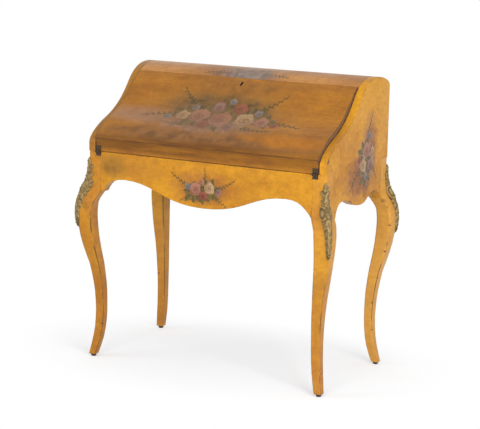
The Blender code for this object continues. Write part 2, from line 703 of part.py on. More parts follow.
def build_lock(fall, hang):
    """A box lock flush in the fall's upper edge, its bolt drawn in at rest."""
    foot = FALL_END - LOCK_LENGTH
    side = LOCK_WIDTH / 2
    cut(fall, board("lock_bed", (-side - GLUE_GAP, side + GLUE_GAP), (foot - GLUE_GAP, FALL_END + 0.010),
                    (WRITING_FACE - 0.010, WRITING_FACE + LOCK_DEPTH + GLUE_GAP), bare_wood(), hang))
    case = board("lock_case", (-side, side), (foot, FALL_END), (WRITING_FACE, WRITING_FACE + LOCK_DEPTH),
                 brass(), hang)
    middle = WRITING_FACE + LOCK_DEPTH / 2
    wide = BOLT_WIDTH / 2 + BOLT_PLAY
    thick = BOLT_THICKNESS / 2 + BOLT_PLAY
    cut(case, board("bolt_channel", (-wide, wide), (FALL_END - BOLT_LENGTH - BOLT_PLAY, FALL_END + 0.010),
                    (middle - thick, middle + thick), brass(), hang))
    guide = pivot("lock_bolt_guide", (0.0, FALL_END - BOLT_LENGTH, middle), 0.0, hang)
    board("lock_bolt", (-BOLT_WIDTH / 2, BOLT_WIDTH / 2), (0.0, BOLT_LENGTH),
          (-BOLT_THICKNESS / 2, BOLT_THICKNESS / 2), brass(), guide)
    outline = []
    for i in range(13):
        turn = math.radians(-65 + 310 * i / 12)
        outline.append((KEYHOLE_RADIUS * math.cos(turn), KEYHOLE_RADIUS * math.sin(turn)))
    slot = KEYHOLE_SLOT_WIDTH / 2
    outline += [(-slot, -KEYHOLE_SLOT), (slot, -KEYHOLE_SLOT)]
    middle_up = FALL_END - KEYHOLE_DROP
    hole = [(x, middle_up + y) for x, y in outline]
    cut(fall, prism("keyhole", hole, "Z", WRITING_FACE + LOCK_DEPTH / 2, WRITING_FACE + 0.080,
                    bare_wood(), hang))


def build_fall_stops(half):
    """Slanted battens on the side panels that the shut fall lies against."""
    frame = pivot("stop_frame", (0.0, AXIS_Y, AXIS_Z), TILT)
    back = WRITING_FACE - GLUE_GAP - STOP_DEPTH
    low = (BED_TOP + RUN_GAP - AXIS_Z - back * math.cos(TILT)) / math.sin(TILT)
    wall = INNER_X - GLUE_GAP
    for side, name in ((-1, "left"), (1, "right")):
        ends = sorted((side * wall, side * (wall - STOP_WIDTH)))
        board(name + "_fall_stop", ends, (low, FALL_END - 0.020), (back, WRITING_FACE - GLUE_GAP),
              bare_wood(), frame)


def barrel(name, start, end, solid_leaf, surface, parent):
    """One hinge leaf: a plate with knuckles rolled on its edge, bored for the pin."""
    sign, reach = (1, MOVING_LEAF_LENGTH) if solid_leaf == "moving" else (-1, FIXED_LEAF_LENGTH)
    plate_back = BARREL_RADIUS
    plate_front = BARREL_RADIUS - LEAF_THICKNESS
    bore = PIN_RADIUS + PIN_PLAY
    segments = 16
    outer = []
    for i in range(segments):
        turn = math.pi / 2 + 2 * math.pi * (i + 0.5) / segments
        outer.append((BARREL_RADIUS * math.cos(turn), sign * BARREL_RADIUS * math.sin(turn)))
    width = (end - start) / 3
    knuckles = [(start, start + width - RUN_GAP / 4), (end - width + RUN_GAP / 4, end)]
    if solid_leaf == "moving":
        knuckles = [(start + width + RUN_GAP / 4, end - width - RUN_GAP / 4)]
    plate = board(name, (start, end), (plate_front, plate_back),
                  tuple(sorted((sign * (BARREL_RADIUS + 0.0004), sign * reach))), surface, parent)
    for n, (low, high) in enumerate(knuckles):
        tail = [(plate_front, 0.0), (plate_back, 0.0), (plate_back, sign * (BARREL_RADIUS + 0.001)),
                (plate_front, sign * (BARREL_RADIUS + 0.001))]
        for part_name, shape in (("knuckle", outer), ("tail", tail)):
            piece = prism("_".join((name, part_name, str(n))), shape, "X", low, high, surface, parent)
            piece.hide_render = True
            piece.display_type = "WIRE"
            step = plate.modifiers.new(piece.name, "BOOLEAN")
            step.operation = "UNION"
            step.solver = "EXACT"
            step.object = piece
    hole = [(bore * math.cos(2 * math.pi * i / 16), bore * math.sin(2 * math.pi * i / 16)) for i in range(16)]
    cut(plate, prism(name + "_bore", hole, "X", start - 0.002, end + 0.002, surface, parent))
    return plate


def build_hinges(hang):
    """Surface hinges at the fall's ends. The pins stay with the fixed leaves."""
    outer = INNER_X - HINGE_INSET
    for side, name in ((-1, "left"), (1, "right")):
        ends = sorted((side * outer, side * (outer - HINGE_WIDTH)))
        fixed = pivot(name + "_hinge_axis", (0.0, AXIS_Y, AXIS_Z))
        turning = pivot(name + "_leaf_axis", (0.0, 0.0, 0.0), -TILT, hang)
        barrel(name + "_hinge_fixed_leaf", ends[0], ends[1], "fixed", dark_iron(), fixed)
        barrel(name + "_hinge_moving_leaf", ends[0], ends[1], "moving", dark_iron(), turning)
        profile = [(PIN_RADIUS, ends[0] - 0.0005), (PIN_RADIUS, ends[1] + 0.0005)]

        def place(a, b, distance):
            return (distance, a, b)
        turned(name + "_hinge_pin", profile, 16, place, dark_iron(), fixed)


def build_compartment():
    """Shelf, partitions and pigeonhole dividers behind the fall, with drawers below the shelf."""
    front = FRONT + DRAWER_SETBACK
    rear = BACK_INNER - GLUE_GAP
    half = INNER_X - GLUE_GAP
    under = BED_TOP + DRAWER_BAY_HEIGHT
    over = under + SHELF_THICKNESS
    board("pigeonhole_shelf", (-half, half), (front, rear), (under, over), bare_wood())
    bay = (2 * INNER_X - (DRAWER_COUNT - 1) * PARTITION_THICKNESS) / DRAWER_COUNT
    roof = CASE_HEIGHT - TOP_THICKNESS - GLUE_GAP
    for n in range(DRAWER_COUNT - 1):
        start = -INNER_X + (n + 1) * bay + n * PARTITION_THICKNESS
        ends = (start, start + PARTITION_THICKNESS)
        name = ("left", "right")[n]
        board(name + "_drawer_partition", ends, (front, rear), (BED_TOP + GLUE_GAP, under - GLUE_GAP),
              bare_wood())
        board(name + "_pigeonhole_divider", ends, (FRONT + PIGEONHOLE_SETBACK, rear),
              (over + GLUE_GAP, roof), bare_wood())
    for n in range(DRAWER_COUNT):
        middle = -INNER_X + bay / 2 + n * (bay + PARTITION_THICKNESS)
        build_drawer(("left", "centre", "right")[n], middle, bay - RUN_GAP, front, rear, under)


def build_drawer(name, middle, width, front, rear, under):
    """A drawer of three pieces: its front, its box with a floor, and a turned knob."""
    runner = pivot(name + "_drawer_runner", (middle, front, BED_TOP))
    half = width / 2
    low = GLUE_GAP
    high = under - BED_TOP - RUN_GAP
    board(name + "_drawer_front", (-half, half), (0.0, DRAWER_FRONT_THICKNESS), (low, high),
          bare_wood(), runner)
    start = DRAWER_FRONT_THICKNESS + GLUE_GAP
    end = rear - front - DRAWER_BACK_GAP
    box = board(name + "_drawer_box", (-half, half), (start, end), (low, DRAWER_BOX_HEIGHT),
                bare_wood(), runner)
    inner = half - DRAWER_WALL
    cut(box, board(name + "_drawer_hollow", (-inner, inner), (start + DRAWER_WALL, end - DRAWER_WALL),
                   (low + DRAWER_FLOOR, DRAWER_BOX_HEIGHT + 0.010), bare_wood(), runner))
    rise = (low + high) / 2
    profile = [(0.0045, -GLUE_GAP), (0.0032, -GLUE_GAP - 0.003), (0.0030, -GLUE_GAP - 0.006),
               (0.0052, -KNOB_LENGTH + 0.0065), (KNOB_RADIUS, -KNOB_LENGTH + 0.0040),
               (KNOB_RADIUS * 0.86, -KNOB_LENGTH + 0.0013), (KNOB_RADIUS * 0.45, -KNOB_LENGTH)]

    def place(a, b, distance):
        return (a, distance, rise + b)
    turned(name + "_drawer_knob", profile, 20, place, brass(), runner)


clear_scene()
build_side_panels()
build_top_board()
build_aprons()
build_knee_blocks()
build_legs()
build_back_and_bed()
build_hinges(build_fall())
build_compartment()
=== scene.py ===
import json
import math

import bmesh
import bpy
import numpy as np
from mathutils import Matrix, Vector
from mathutils.bvhtree import BVHTree

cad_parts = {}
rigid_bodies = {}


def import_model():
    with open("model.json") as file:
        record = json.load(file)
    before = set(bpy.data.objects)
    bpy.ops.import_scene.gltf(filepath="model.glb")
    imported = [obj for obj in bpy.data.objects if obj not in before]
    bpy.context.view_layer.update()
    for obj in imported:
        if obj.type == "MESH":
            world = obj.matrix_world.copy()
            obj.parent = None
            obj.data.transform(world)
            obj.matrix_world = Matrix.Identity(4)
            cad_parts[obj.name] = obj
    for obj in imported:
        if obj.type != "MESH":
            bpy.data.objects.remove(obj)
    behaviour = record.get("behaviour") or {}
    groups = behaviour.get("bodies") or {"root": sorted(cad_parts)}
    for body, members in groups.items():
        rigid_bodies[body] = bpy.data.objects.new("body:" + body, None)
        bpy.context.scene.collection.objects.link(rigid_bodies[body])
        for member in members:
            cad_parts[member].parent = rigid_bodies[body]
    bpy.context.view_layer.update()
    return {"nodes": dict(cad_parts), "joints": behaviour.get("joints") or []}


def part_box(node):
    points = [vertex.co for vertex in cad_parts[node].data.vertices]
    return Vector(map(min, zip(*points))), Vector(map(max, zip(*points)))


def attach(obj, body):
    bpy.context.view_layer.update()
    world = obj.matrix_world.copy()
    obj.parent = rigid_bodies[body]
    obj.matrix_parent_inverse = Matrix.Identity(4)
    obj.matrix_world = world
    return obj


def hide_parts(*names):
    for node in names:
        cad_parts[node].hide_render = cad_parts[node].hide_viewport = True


for leftover in list(bpy.data.objects):
    bpy.data.objects.remove(leftover)
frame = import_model()


# Cabriole legs
# Four sawn and shaped hardwood legs, each in one piece with its post at the corner of the case.
# They are gessoed, painted gold and varnished, and their arrises have rubbed through to dark wood.

GOLD = (0.66, 0.297, 0.015, 1)
BROWN = (0.43, 0.160, 0.012, 1)
GOLD_TONE = 0.34
GOLD_STREAKS = (9, 9, 16)
CRACK_BROWN = (0.13, 0.058, 0.018, 1)
RUBBED_WOOD = (0.075, 0.036, 0.016, 1)
RUB_WIDTH = 0.0032
WOOD_EDGE = 0.0009
CREASE = math.radians(38)
WELD = 0.00002
COPLANAR = math.radians(0.15)


class Signal:
    """What a socket of a node tree gives: a number, a place or a colour, with sums and products of it."""

    def __init__(self, tree, socket):
        self.tree = tree
        self.socket = socket

    def __add__(self, other):
        return reckon("ADD", self, other)

    def __sub__(self, other):
        return reckon("SUBTRACT", self, other)

    def __rsub__(self, other):
        return reckon("SUBTRACT", other, self)

    def __mul__(self, other):
        return reckon("MULTIPLY", self, other)

    def __truediv__(self, other):
        return reckon("DIVIDE", self, other)

    def __rtruediv__(self, other):
        return reckon("DIVIDE", other, self)

    def __pow__(self, power):
        return reckon("POWER", self, power)

    def __abs__(self):
        return reckon("ABSOLUTE", self)


def feed(node, inputs):
    """Links or sets the inputs of a node."""
    for name, value in dict(inputs).items():
        if isinstance(value, Signal):
            value.tree.links.new(value.socket, node.inputs[name])
        else:
            node.inputs[name].default_value = value


def put(tree, kind, inputs=(), **settings):
    """A new node in a tree: what it gives, by number and by name."""
    node = tree.nodes.new(kind if "Node" in kind else "ShaderNode" + kind)
    for setting, value in settings.items():
        setattr(node, setting, value)
    feed(node, inputs)
    given = {}
    for number, socket in enumerate(node.outputs):
        given[number] = Signal(tree, socket)
        given.setdefault(socket.name, given[number])
    return given


def reckon(operation, *values):
    """What a Math node gives, or a Vector Math node if a place or a colour is among the values."""
    signals = [value for value in values if isinstance(value, Signal)]
    tree = signals[0].tree
    if all(signal.socket.type == "VALUE" for signal in signals):
        return put(tree, "Math", enumerate(values), operation=operation)[0]
    values = [(value,) * 3 if isinstance(value, (int, float)) else value for value in values]
    return put(tree, "VectorMath", enumerate(values), operation=operation)[0]


def measure(operation, *places):
    """The number that a Vector Math node gives."""
    return put(places[0].tree, "VectorMath", enumerate(places), operation=operation)["Value"]


def split(place):
    """The three sides of a place."""
    sides = put(place.tree, "SeparateXYZ", {0: place})
    return sides[0], sides[1], sides[2]


def ease(value, low, high, start=0.0, end=1.0):
    """A value taken smoothly from start to end as it goes from low to high."""
    limits = {"Value": value, "From Min": low, "From Max": high, "To Min": start, "To Max": end}
    return put(value.tree, "MapRange", limits, interpolation_type="SMOOTHSTEP")["Result"]


def mixed(share, first, second):
    """The first colour with a share of the second in it."""
    return put(share.tree, "Mix", {0: share, 6: first, 7: second}, data_type="RGBA")[2]


def noise(place, scale, detail=3.0, roughness=0.5, output="Fac"):
    """Soft noise of so many waves to the metre."""
    settings = {"Vector": place, "Scale": scale, "Detail": detail, "Roughness": roughness}
    return put(place.tree, "TexNoise", settings)[output]


def object_normal(place):
    """The way a surface faces, in the object's own axes."""
    return put(place.tree, "TexCoord")["Normal"]


def bumped(height, strength, distance):
    """The normal of a surface with small heights on it."""
    return put(height.tree, "Bump", {"Height": height, "Strength": strength, "Distance": distance})[0]


def effect(name, inputs, outputs):
    """A new shader node group: its tree, what it is given and the node that takes its results."""
    tree = bpy.data.node_groups.new(name, "ShaderNodeTree")
    for label, (kind, value) in inputs.items():
        socket = tree.interface.new_socket(label, in_out="INPUT", socket_type="NodeSocket" + kind)
        socket.default_value = value
    for label, kind in outputs.items():
        tree.interface.new_socket(label, in_out="OUTPUT", socket_type="NodeSocket" + kind)
    return tree, put(tree, "NodeGroupInput"), tree.nodes.new("NodeGroupOutput")


def make_gold_ground():
    """Gold paint under old varnish: brown clouds, brush streaks, fine cracks and small nicks."""
    inputs = {
        "Place": ("Vector", (0, 0, 0)),
        "Streaks": ("Vector", (5, 5, 30)),
        "Gold": ("Color", GOLD),
        "Brown": ("Color", BROWN),
        "Tone": ("Float", 0.4),
    }
    outputs = {"Colour": "Color", "Gloss": "Float", "Height": "Float"}
    tree, given, result = effect("gold_ground", inputs, outputs)
    place = given["Place"]
    drawn = place * given["Streaks"]
    clouds = noise(place, 5.5, 6, 0.6)
    streaks = noise(drawn, 1, 5, 0.6)
    speckle = noise(place, 330, 2)
    tone = ease(clouds * 1.5 + streaks * 1.1 + given["Tone"], 1.25, 2.2)
    paint = mixed(tone, given["Gold"], given["Brown"])
    mottle = noise(place, 75, 4, 0.6) * 0.5 + noise(drawn, 5, 4, 0.6) * 0.5
    lightness = ease(speckle, 0.3, 0.7, 0.93, 1.05) * ease(mottle, 0.36, 0.64, 0.87, 1.09)
    paint = put(tree, "HueSaturation", {"Color": paint, "Value": lightness})[0]

    swayed = place + noise(place, 60, 4, output="Color") * 0.016
    cells = put(tree, "TexVoronoi", {"Vector": swayed, "Scale": 120}, feature="DISTANCE_TO_EDGE")
    cracks = ease(cells["Distance"], 0.0, 0.055, 1, 0) * ease(noise(place, 11, 4), 0.48, 0.70)
    paint = mixed(cracks * 0.24, paint, CRACK_BROWN)

    spots = put(tree, "TexVoronoi", {"Vector": place, "Scale": 26})
    chance = put(tree, "SeparateColor", {0: spots["Color"]})[0]
    nicks = ease(ease(chance, 0.72, 1.0, 0.0, 0.085) - spots["Distance"], 0.0, 0.02)
    paint = mixed(nicks * 0.75, paint, RUBBED_WOOD)

    gloss = ease(clouds, 0.3, 0.7, 0.33, 0.47) + (cracks * 0.12 + nicks * 0.3)
    height = speckle * 0.25 + streaks - (cracks * 0.35 + nicks)
    feed(result, {"Colour": paint, "Gloss": gloss, "Height": height})
    return tree


def make_edge_wear():
    """How far an edge has rubbed through, in patches along it."""
    inputs = {"Place": ("Vector", (0, 0, 0)), "Width": ("Float", 0.003)}
    tree, given, result = effect("edge_wear", inputs, {"Wear": "Float"})
    eased = put(tree, "Bevel", {"Radius": given["Width"]}, samples=6)[0]
    turned = measure("DOT_PRODUCT", eased, put(tree, "NewGeometry")["Normal"])
    near_edge = ease(turned, 0.995, 0.86)
    rubbed = ease(near_edge * 0.22 + noise(given["Place"], 24, 6, 0.65), 0.56, 0.74)
    feed(result, {"Wear": rubbed * near_edge})
    return tree


gold_ground = make_gold_ground()
edge_wear = make_edge_wear()


def new_material(name):
    """A new material, its shader and the places of the object that wears it."""
    material = bpy.data.materials.new(name)
    material.use_nodes = True
    tree = material.node_tree
    return material, tree.nodes["Principled BSDF"], put(tree, "TexCoord")["Object"]


def worn_edges(place):
    return put(place.tree, "Group", {"Place": place, "Width": RUB_WIDTH}, node_tree=edge_wear)["Wear"]


def painted(name, gold, brown, tone, streaks, decorate=None, open_edges=None):
    """Gold paint and varnish for one kind of piece, with any decoration, rubbed at its open edges."""
    material, shader, place = new_material(name)
    shade = tone(place) if callable(tone) else tone
    values = {"Place": place, "Streaks": streaks, "Gold": gold, "Brown": brown, "Tone": shade}
    ground = put(place.tree, "Group", values, node_tree=gold_ground)
    colour = decorate(place, ground["Colour"]) if decorate else ground["Colour"]
    wear = worn_edges(place)
    if open_edges:
        wear = wear * open_edges(place)
    looks = {
        "Base Color": mixed(wear, colour, RUBBED_WOOD),
        "Roughness": wear * 0.2 + ground["Gloss"],
        "Normal": bumped(ground["Height"], 0.22, 0.0005),
        "Specular IOR Level": 0.22,
        "Coat Weight": 0.06,
        "Coat Roughness": 0.2,
    }
    feed(shader, looks)
    return material


def skin_group(name, **inputs):
    """A new group of geometry nodes: its tree, what it is given and the node that takes its result."""
    tree = bpy.data.node_groups.new(name, "GeometryNodeTree")
    for way in ("INPUT", "OUTPUT"):
        tree.interface.new_socket("Geometry", in_out=way, socket_type="NodeSocketGeometry")
    for label, kind in inputs.items():
        tree.interface.new_socket(label, in_out="INPUT", socket_type="NodeSocket" + kind)
    return tree, put(tree, "NodeGroupInput"), tree.nodes.new("NodeGroupOutput")


def make_welded_skin():
    """Joins the corners of a frame mesh and shades it smooth."""
    tree, given, result = skin_group("welded_skin")
    plain = put(tree, "GeometryNodeRemoveAttribute", {0: given[0], "Name": "custom_normal"})
    welded = put(tree, "GeometryNodeMergeByDistance", {0: plain[0], "Distance": WELD})
    feed(result, {0: put(tree, "GeometryNodeSetShadeSmooth", {0: welded[0]})[0]})
    return tree


def make_open_arrises():
    """Weights the edges over the crease for easing, but for those at a glued joint."""
    tree, given, result = skin_group("open_arrises", Joint="Vector", Inner="Float")
    angle = put(tree, "GeometryNodeInputMeshEdgeAngle")["Unsigned Angle"]
    sides = split(abs(put(tree, "GeometryNodeInputPosition")[0]))
    joint = split(given["Joint"])
    past_x, past_y = (reckon("GREATER_THAN", sides[k], joint[k]) for k in (0, 1))
    glued = reckon("MAXIMUM", past_x, past_y) * reckon("LESS_THAN", sides[2], joint[2])
    glued = reckon("MAXIMUM", glued, reckon("LESS_THAN", sides[0], given["Inner"]))
    weight = reckon("MAXIMUM", reckon("GREATER_THAN", angle, CREASE) - glued, 0.0)
    values = {"Geometry": given[0], "Name": "bevel_weight_edge", "Value": weight}
    store = put(tree, "GeometryNodeStoreNamedAttribute", values, domain="EDGE", data_type="FLOAT")
    feed(result, {0: store[0]})
    return tree


def make_crisp_edges():
    """Marks the edges over the crease as sharp, after the easing of edges."""
    tree, given, result = skin_group("crisp_edges")
    angle = put(tree, "GeometryNodeInputMeshEdgeAngle")["Unsigned Angle"]
    sharp = put(tree, "FunctionNodeCompare", {0: angle, 1: CREASE})[0]
    values = {"Geometry": given[0], "Selection": sharp, "Shade Smooth": False}
    feed(result, {0: put(tree, "GeometryNodeSetShadeSmooth", values, domain="EDGE")[0]})
    return tree


welded_skin = make_welded_skin()
open_arrises = make_open_arrises()
crisp_edges = make_crisp_edges()
NO_JOINT = (9, 9, 9)


def finish(node, material, edge=WOOD_EDGE, joint=NO_JOINT, inner=0.0):
    """Gives a frame node, or a piece, one skin, eased edges but for its joints, and smooth shading."""
    piece = frame["nodes"][node] if isinstance(node, str) else node
    piece.data.materials[0] = material
    piece.modifiers.new("skin", "NODES").node_group = welded_skin
    flat = piece.modifiers.new("flat_faces", "DECIMATE")
    flat.decimate_type = "DISSOLVE"
    flat.angle_limit = COPLANAR
    arrises = piece.modifiers.new("arrises", "NODES")
    arrises.node_group = open_arrises
    limits = {socket.name: socket.identifier for socket in open_arrises.interface.items_tree}
    arrises[limits["Joint"]] = joint
    arrises[limits["Inner"]] = inner
    eased = piece.modifiers.new("eased_edges", "BEVEL")
    eased.width = edge
    eased.segments = 2
    eased.limit_method = "WEIGHT"
    piece.modifiers.new("crisp", "NODES").node_group = crisp_edges
    weighted = piece.modifiers.new("shading", "WEIGHTED_NORMAL")
    weighted.keep_sharp = True
    return piece


def new_piece(mesh, body, replaced=None, place=Matrix()):
    """A piece made of a mesh, which rides on a body and stands for any frame node that it replaces."""
    piece = bpy.data.objects.new(mesh.name, mesh)
    bpy.context.scene.collection.objects.link(piece)
    piece.matrix_world = place
    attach(piece, body)
    if replaced:
        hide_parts(replaced)
    return piece


def reshaped(node, trim):
    """A copy of a piece of the frame, trimmed by moving its points."""
    shape = bmesh.new()
    shape.from_mesh(frame["nodes"][node].data)
    bmesh.ops.remove_doubles(shape, verts=shape.verts, dist=WELD)
    bmesh.ops.dissolve_limit(shape, angle_limit=COPLANAR, verts=shape.verts, edges=shape.edges)
    trimmed = trim(np.array([point.co for point in shape.verts]))
    for point, place in zip(shape.verts, trimmed.tolist()):
        point.co = place
    mesh = bpy.data.meshes.new(node + "_trimmed")
    shape.to_mesh(mesh)
    shape.free()
    mesh.materials.append(None)
    return new_piece(mesh, "carcase", node)


# The paint is browner toward the feet and on the front left leg; the back right one is painted palest, as
# painted light.
FOOT_TONE, FRONT_LEFT_TONE, BACK_RIGHT_PAINTED_LIGHT = 0.30, 0.20, -0.40
KNEE, FOOT = 0.50, 0.02
# The left gives way to the right, and the front to the back, this far on each side of the middle.
MIDDLE = 0.1


def leg_tone(place):
    across, depth, height = split(place)
    left, front = ease(across, MIDDLE, -MIDDLE), ease(depth, MIDDLE, -MIDDLE)
    # The back right leg is painted paler, as painted light.
    shift = left * front * FRONT_LEFT_TONE + (1 - left) * (1 - front) * BACK_RIGHT_PAINTED_LIGHT
    return ease(height, KNEE, FOOT, GOLD_TONE, GOLD_TONE + FOOT_TONE) + shift


# Painted light: the gold is paler on the back and right legs, most on the back right one.
PAINTED_LIGHT_GOLD = (0.66, 0.36, 0.14, 1)
LEG_PAINTED_LIGHT, LEFT_PAINTED_LIGHT = (0.08, 0.28), 0.4
# The heights between which the rubbing of a leg's arrises and of its other edges sets in.
ARRIS_TOP, EDGE_TOP = (0.585, 0.560), (0.575, 0.545)
ARRIS_WEAR = 0.8
# Dents, old nail holes and scuffs: the place, radius and strength of each.
LEG_DENTS = (
    ((0.450, 0.201, 0.469), 0.0044, 0.95),
    ((0.439, 0.195, 0.382), 0.0046, 0.95),
    ((0.420, 0.185, 0.296), 0.0036, 0.95),
    ((0.408, 0.178, 0.211), 0.0036, 0.95),
    ((0.409, 0.180, 0.121), 0.0044, 0.95),
    ((0.431, 0.181, 0.550), 0.0095, 0.45),
    ((0.435, 0.190, 0.548), 0.0075, 0.45),
    ((-0.426, -0.245, 0.514), 0.0160, 0.32),
    ((-0.417, -0.247, 0.499), 0.0120, 0.28),
    ((-0.405, 0.177, 0.205), 0.0040, 0.95),
    ((-0.384, -0.205, 0.113), 0.0044, 0.95),
    ((0.413, -0.201, 0.085), 0.0024, 0.85),
    ((0.415, -0.204, 0.070), 0.0026, 0.85),
    ((0.416, -0.207, 0.058), 0.0024, 0.85),
)


def leg_light_and_wear(place, paint):
    """Painted light on the back and right legs, dark stretches along the rounded arrises below the knee,
    most on the left legs, and a few dents.
    """
    across, depth, height = split(place)
    # Painted light: paler gold toward the back and the right, most on the back right leg.
    painted_light = ease(depth, -MIDDLE, MIDDLE, *LEG_PAINTED_LIGHT) * ease(across, -MIDDLE, MIDDLE, LEFT_PAINTED_LIGHT, 1.0)
    paint = mixed(painted_light, paint, PAINTED_LIGHT_GOLD)
    normal = split(object_normal(place))
    at_arris = ease(abs(normal[0] * normal[1]), 0.30, 0.47)
    more_at_left = ease(across, MIDDLE, -MIDDLE, 0.0, 0.09)
    stretches = ease(noise(place, 13, 5, 0.6) + more_at_left, 0.48, 0.62)
    rubbed = at_arris * stretches * ease(height, *ARRIS_TOP) * ARRIS_WEAR
    ragged = ease(noise(place, 160, 3), 0.3, 0.7, 0.6, 1.5)
    for dent, radius, strength in LEG_DENTS:
        off = measure("DISTANCE", place, dent) * ragged
        rubbed = reckon("MAXIMUM", rubbed, ease(off, radius, 0.5 * radius, 0.0, strength))
    return mixed(rubbed, paint, RUBBED_WOOD)


def below_knee(place):
    return ease(split(place)[2], *EDGE_TOP)


FOOT_BOTTOM = 0.0085
# The legs are left a little full from below the knee down.
LEG_FULLNESS, FULL_LEG = 0.0014, (0.500, 0.545)


def trimmed_leg(points):
    """A leg's points, with its foot cut to let the glide show and its sides left full."""
    points = points.copy()
    rings = np.round(points[:, 2], 3)
    for height in np.unique(rings):
        ring = rings == height
        low, high = points[ring, :2].min(axis=0), points[ring, :2].max(axis=0)
        wider = LEG_FULLNESS * np.interp(height, FULL_LEG, (1.0, 0.0))
        middle, half = (low + high) / 2, (high - low) / 2
        points[ring, :2] = middle + (points[ring, :2] - middle) * (1 + wider / half)
    points[:, 2] = np.maximum(points[:, 2], FOOT_BOTTOM)
    return points


CORNERS = ("front_left", "front_right", "back_left", "back_right")
ALL_JOINT = (0, 0, 9)
leg_paint = painted("painted_leg", GOLD, BROWN, leg_tone, GOLD_STREAKS, leg_light_and_wear, below_knee)
legs = {}
for corner in CORNERS:
    legs[corner] = reshaped(corner + "_leg", trimmed_leg)
    finish(legs[corner], leg_paint, joint=ALL_JOINT)
    finish(corner + "_apron_knee_block", leg_paint)
for side in ("left", "right"):
    finish(f"back_{side}_skirt_knee_block", leg_paint)


# Aprons
# Two boards sawn to a double curve below, tenoned into the posts, and painted with the legs.
# The front one has a posy of roses in the middle; behind, both show bare wood.

APRON_JOINT = (0.3785, 9, 9)
APRON_OPEN = (0.372, 0.362)
APRON_INNER, APRON_PAINT_EDGE = 0.1985, 0.0008
BARE_LIGHT = (0.30, 0.165, 0.075, 1)
BARE_DARK = (0.15, 0.072, 0.030, 1)
GRAIN_ALONG_X = (4, 60, 60)
WOBBLE = 0.007
# The lit and the shaded tint of each painted flower and leaf.
LEAF = ((0.165, 0.115, 0.032, 1), (0.058, 0.044, 0.016, 1))
PINK = ((0.42, 0.19, 0.12, 1), (0.20, 0.070, 0.045, 1))
CREAM = ((0.50, 0.32, 0.17, 1), (0.25, 0.13, 0.060, 1))
MAUVE = ((0.29, 0.155, 0.125, 1), (0.13, 0.058, 0.050, 1))
CRIMSON = ((0.31, 0.085, 0.048, 1), (0.12, 0.028, 0.018, 1))
BLUE = ((0.23, 0.195, 0.175, 1), (0.090, 0.078, 0.076, 1))
UMBER = ((0.29, 0.115, 0.028, 1), (0.135, 0.052, 0.017, 1))


def make_wood_grain():
    """Plain sawn wood: growth bands, fibres and pores, drawn out along the board."""
    inputs = {
        "Place": ("Vector", (0, 0, 0)),
        "Along": ("Vector", GRAIN_ALONG_X),
        "Light": ("Color", BARE_LIGHT),
        "Dark": ("Color", BARE_DARK),
    }
    tree, given, result = effect("wood_grain", inputs, {"Colour": "Color", "Height": "Float"})
    drawn = given["Place"] * given["Along"]
    fibres = noise(drawn, 7, 3, 0.6)
    pores = ease(noise(drawn, 16, 2), 0.60, 0.70)
    share = noise(drawn, 0.9, 5, 0.62) * 0.8 + fibres * 0.45
    wood = mixed(ease(share, 0.42, 0.84), given["Light"], given["Dark"])
    wood = mixed(pores * 0.5, wood, given["Dark"])
    feed(result, {"Colour": wood, "Height": fibres - pores})
    return tree


def motif_group(name, **inputs):
    """A new group for a painted motif, whose own numbers have these values where none are given."""
    sockets = {"Under": ("Color", (0, 0, 0, 1))}
    for label, value in {"Canvas": (0, 0, 0), "Centre": (0, 0, 0), **inputs}.items():
        sockets[label] = ("Float" if isinstance(value, (int, float)) else "Vector", value)
    sockets["Lit"] = ("Color", (1, 1, 1, 1))
    sockets["Shade"] = ("Color", (0, 0, 0, 1))
    return effect(name, sockets, {"Colour": "Color"})


def about(given, size):
    """Canvas places about a motif's own centre, turned with it and in units of its size."""
    values = {"Vector": given["Canvas"] - given["Centre"], "Angle": given["Turn"]}
    return put(size.tree, "VectorRotate", values, rotation_type="Z_AXIS")[0] * (1 / size)


def polar(spot):
    """The distance of a place from its centre, its angle in turns, and its two sides."""
    right, up, _ = split(spot)
    return measure("LENGTH", spot), reckon("ARCTAN2", up, right) / (2 * math.pi), right, up


def make_painted_cloud():
    """A soft ragged patch of colour, as rubbed in with a dry brush."""
    numbers = {"Spread": (0.1, 0.1, 1), "Ragged": 0.8, "Grain": 30, "Strength": 0.7}
    tree, given, result = motif_group("painted_cloud", **numbers)
    canvas, grain = given["Canvas"], given["Grain"]
    distance = measure("LENGTH", (canvas - given["Centre"]) / given["Spread"])
    reach = (noise(canvas, grain, 6, 0.62) - 0.5) * given["Ragged"] + distance
    dabs = noise(canvas + (3.7, 1.3, 0), grain * 1.6, 4, 0.6)
    tint = mixed(ease(dabs, 0.36, 0.62), given["Shade"], given["Lit"])
    feed(result, {"Colour": mixed(ease(reach, 1.0, 0.3) * given["Strength"], given["Under"], tint)})
    return tree


def make_painted_leaves():
    """A whorl of leaves of uneven length, each with a lit half, a dark half and a midrib."""
    tree, given, result = motif_group("painted_leaves", Reach=0.05, Count=6, Turn=0)
    spot = about(given, given["Reach"])
    distance, angle, _, _ = polar(spot + noise(spot, 2.2, 2, output="Color") * 0.22)
    sector = angle * given["Count"]
    which = reckon("FLOOR", sector) + given["Turn"]
    chance = put(tree, "TexWhiteNoise", {"W": which}, noise_dimensions="1D")["Value"]
    along = distance / (chance * 0.4 + 0.6)
    across = (reckon("FRACT", sector) - 0.5) * (2 * math.pi / given["Count"]) * distance
    swell = reckon("SINE", ease(along, 0.1, 1.0) * math.pi)
    mask = ease(swell * 0.24 - abs(across), 0.0, 0.07)
    midrib = ease(abs(across), 0.0, 0.035)
    light = (chance * 0.4 + ease(across, -0.05, 0.05, 0.15, 0.7)) * midrib
    leaf = mixed(light, given["Shade"], given["Lit"])
    feed(result, {"Colour": mixed(mask * 0.92, given["Under"], leaf)})
    return tree


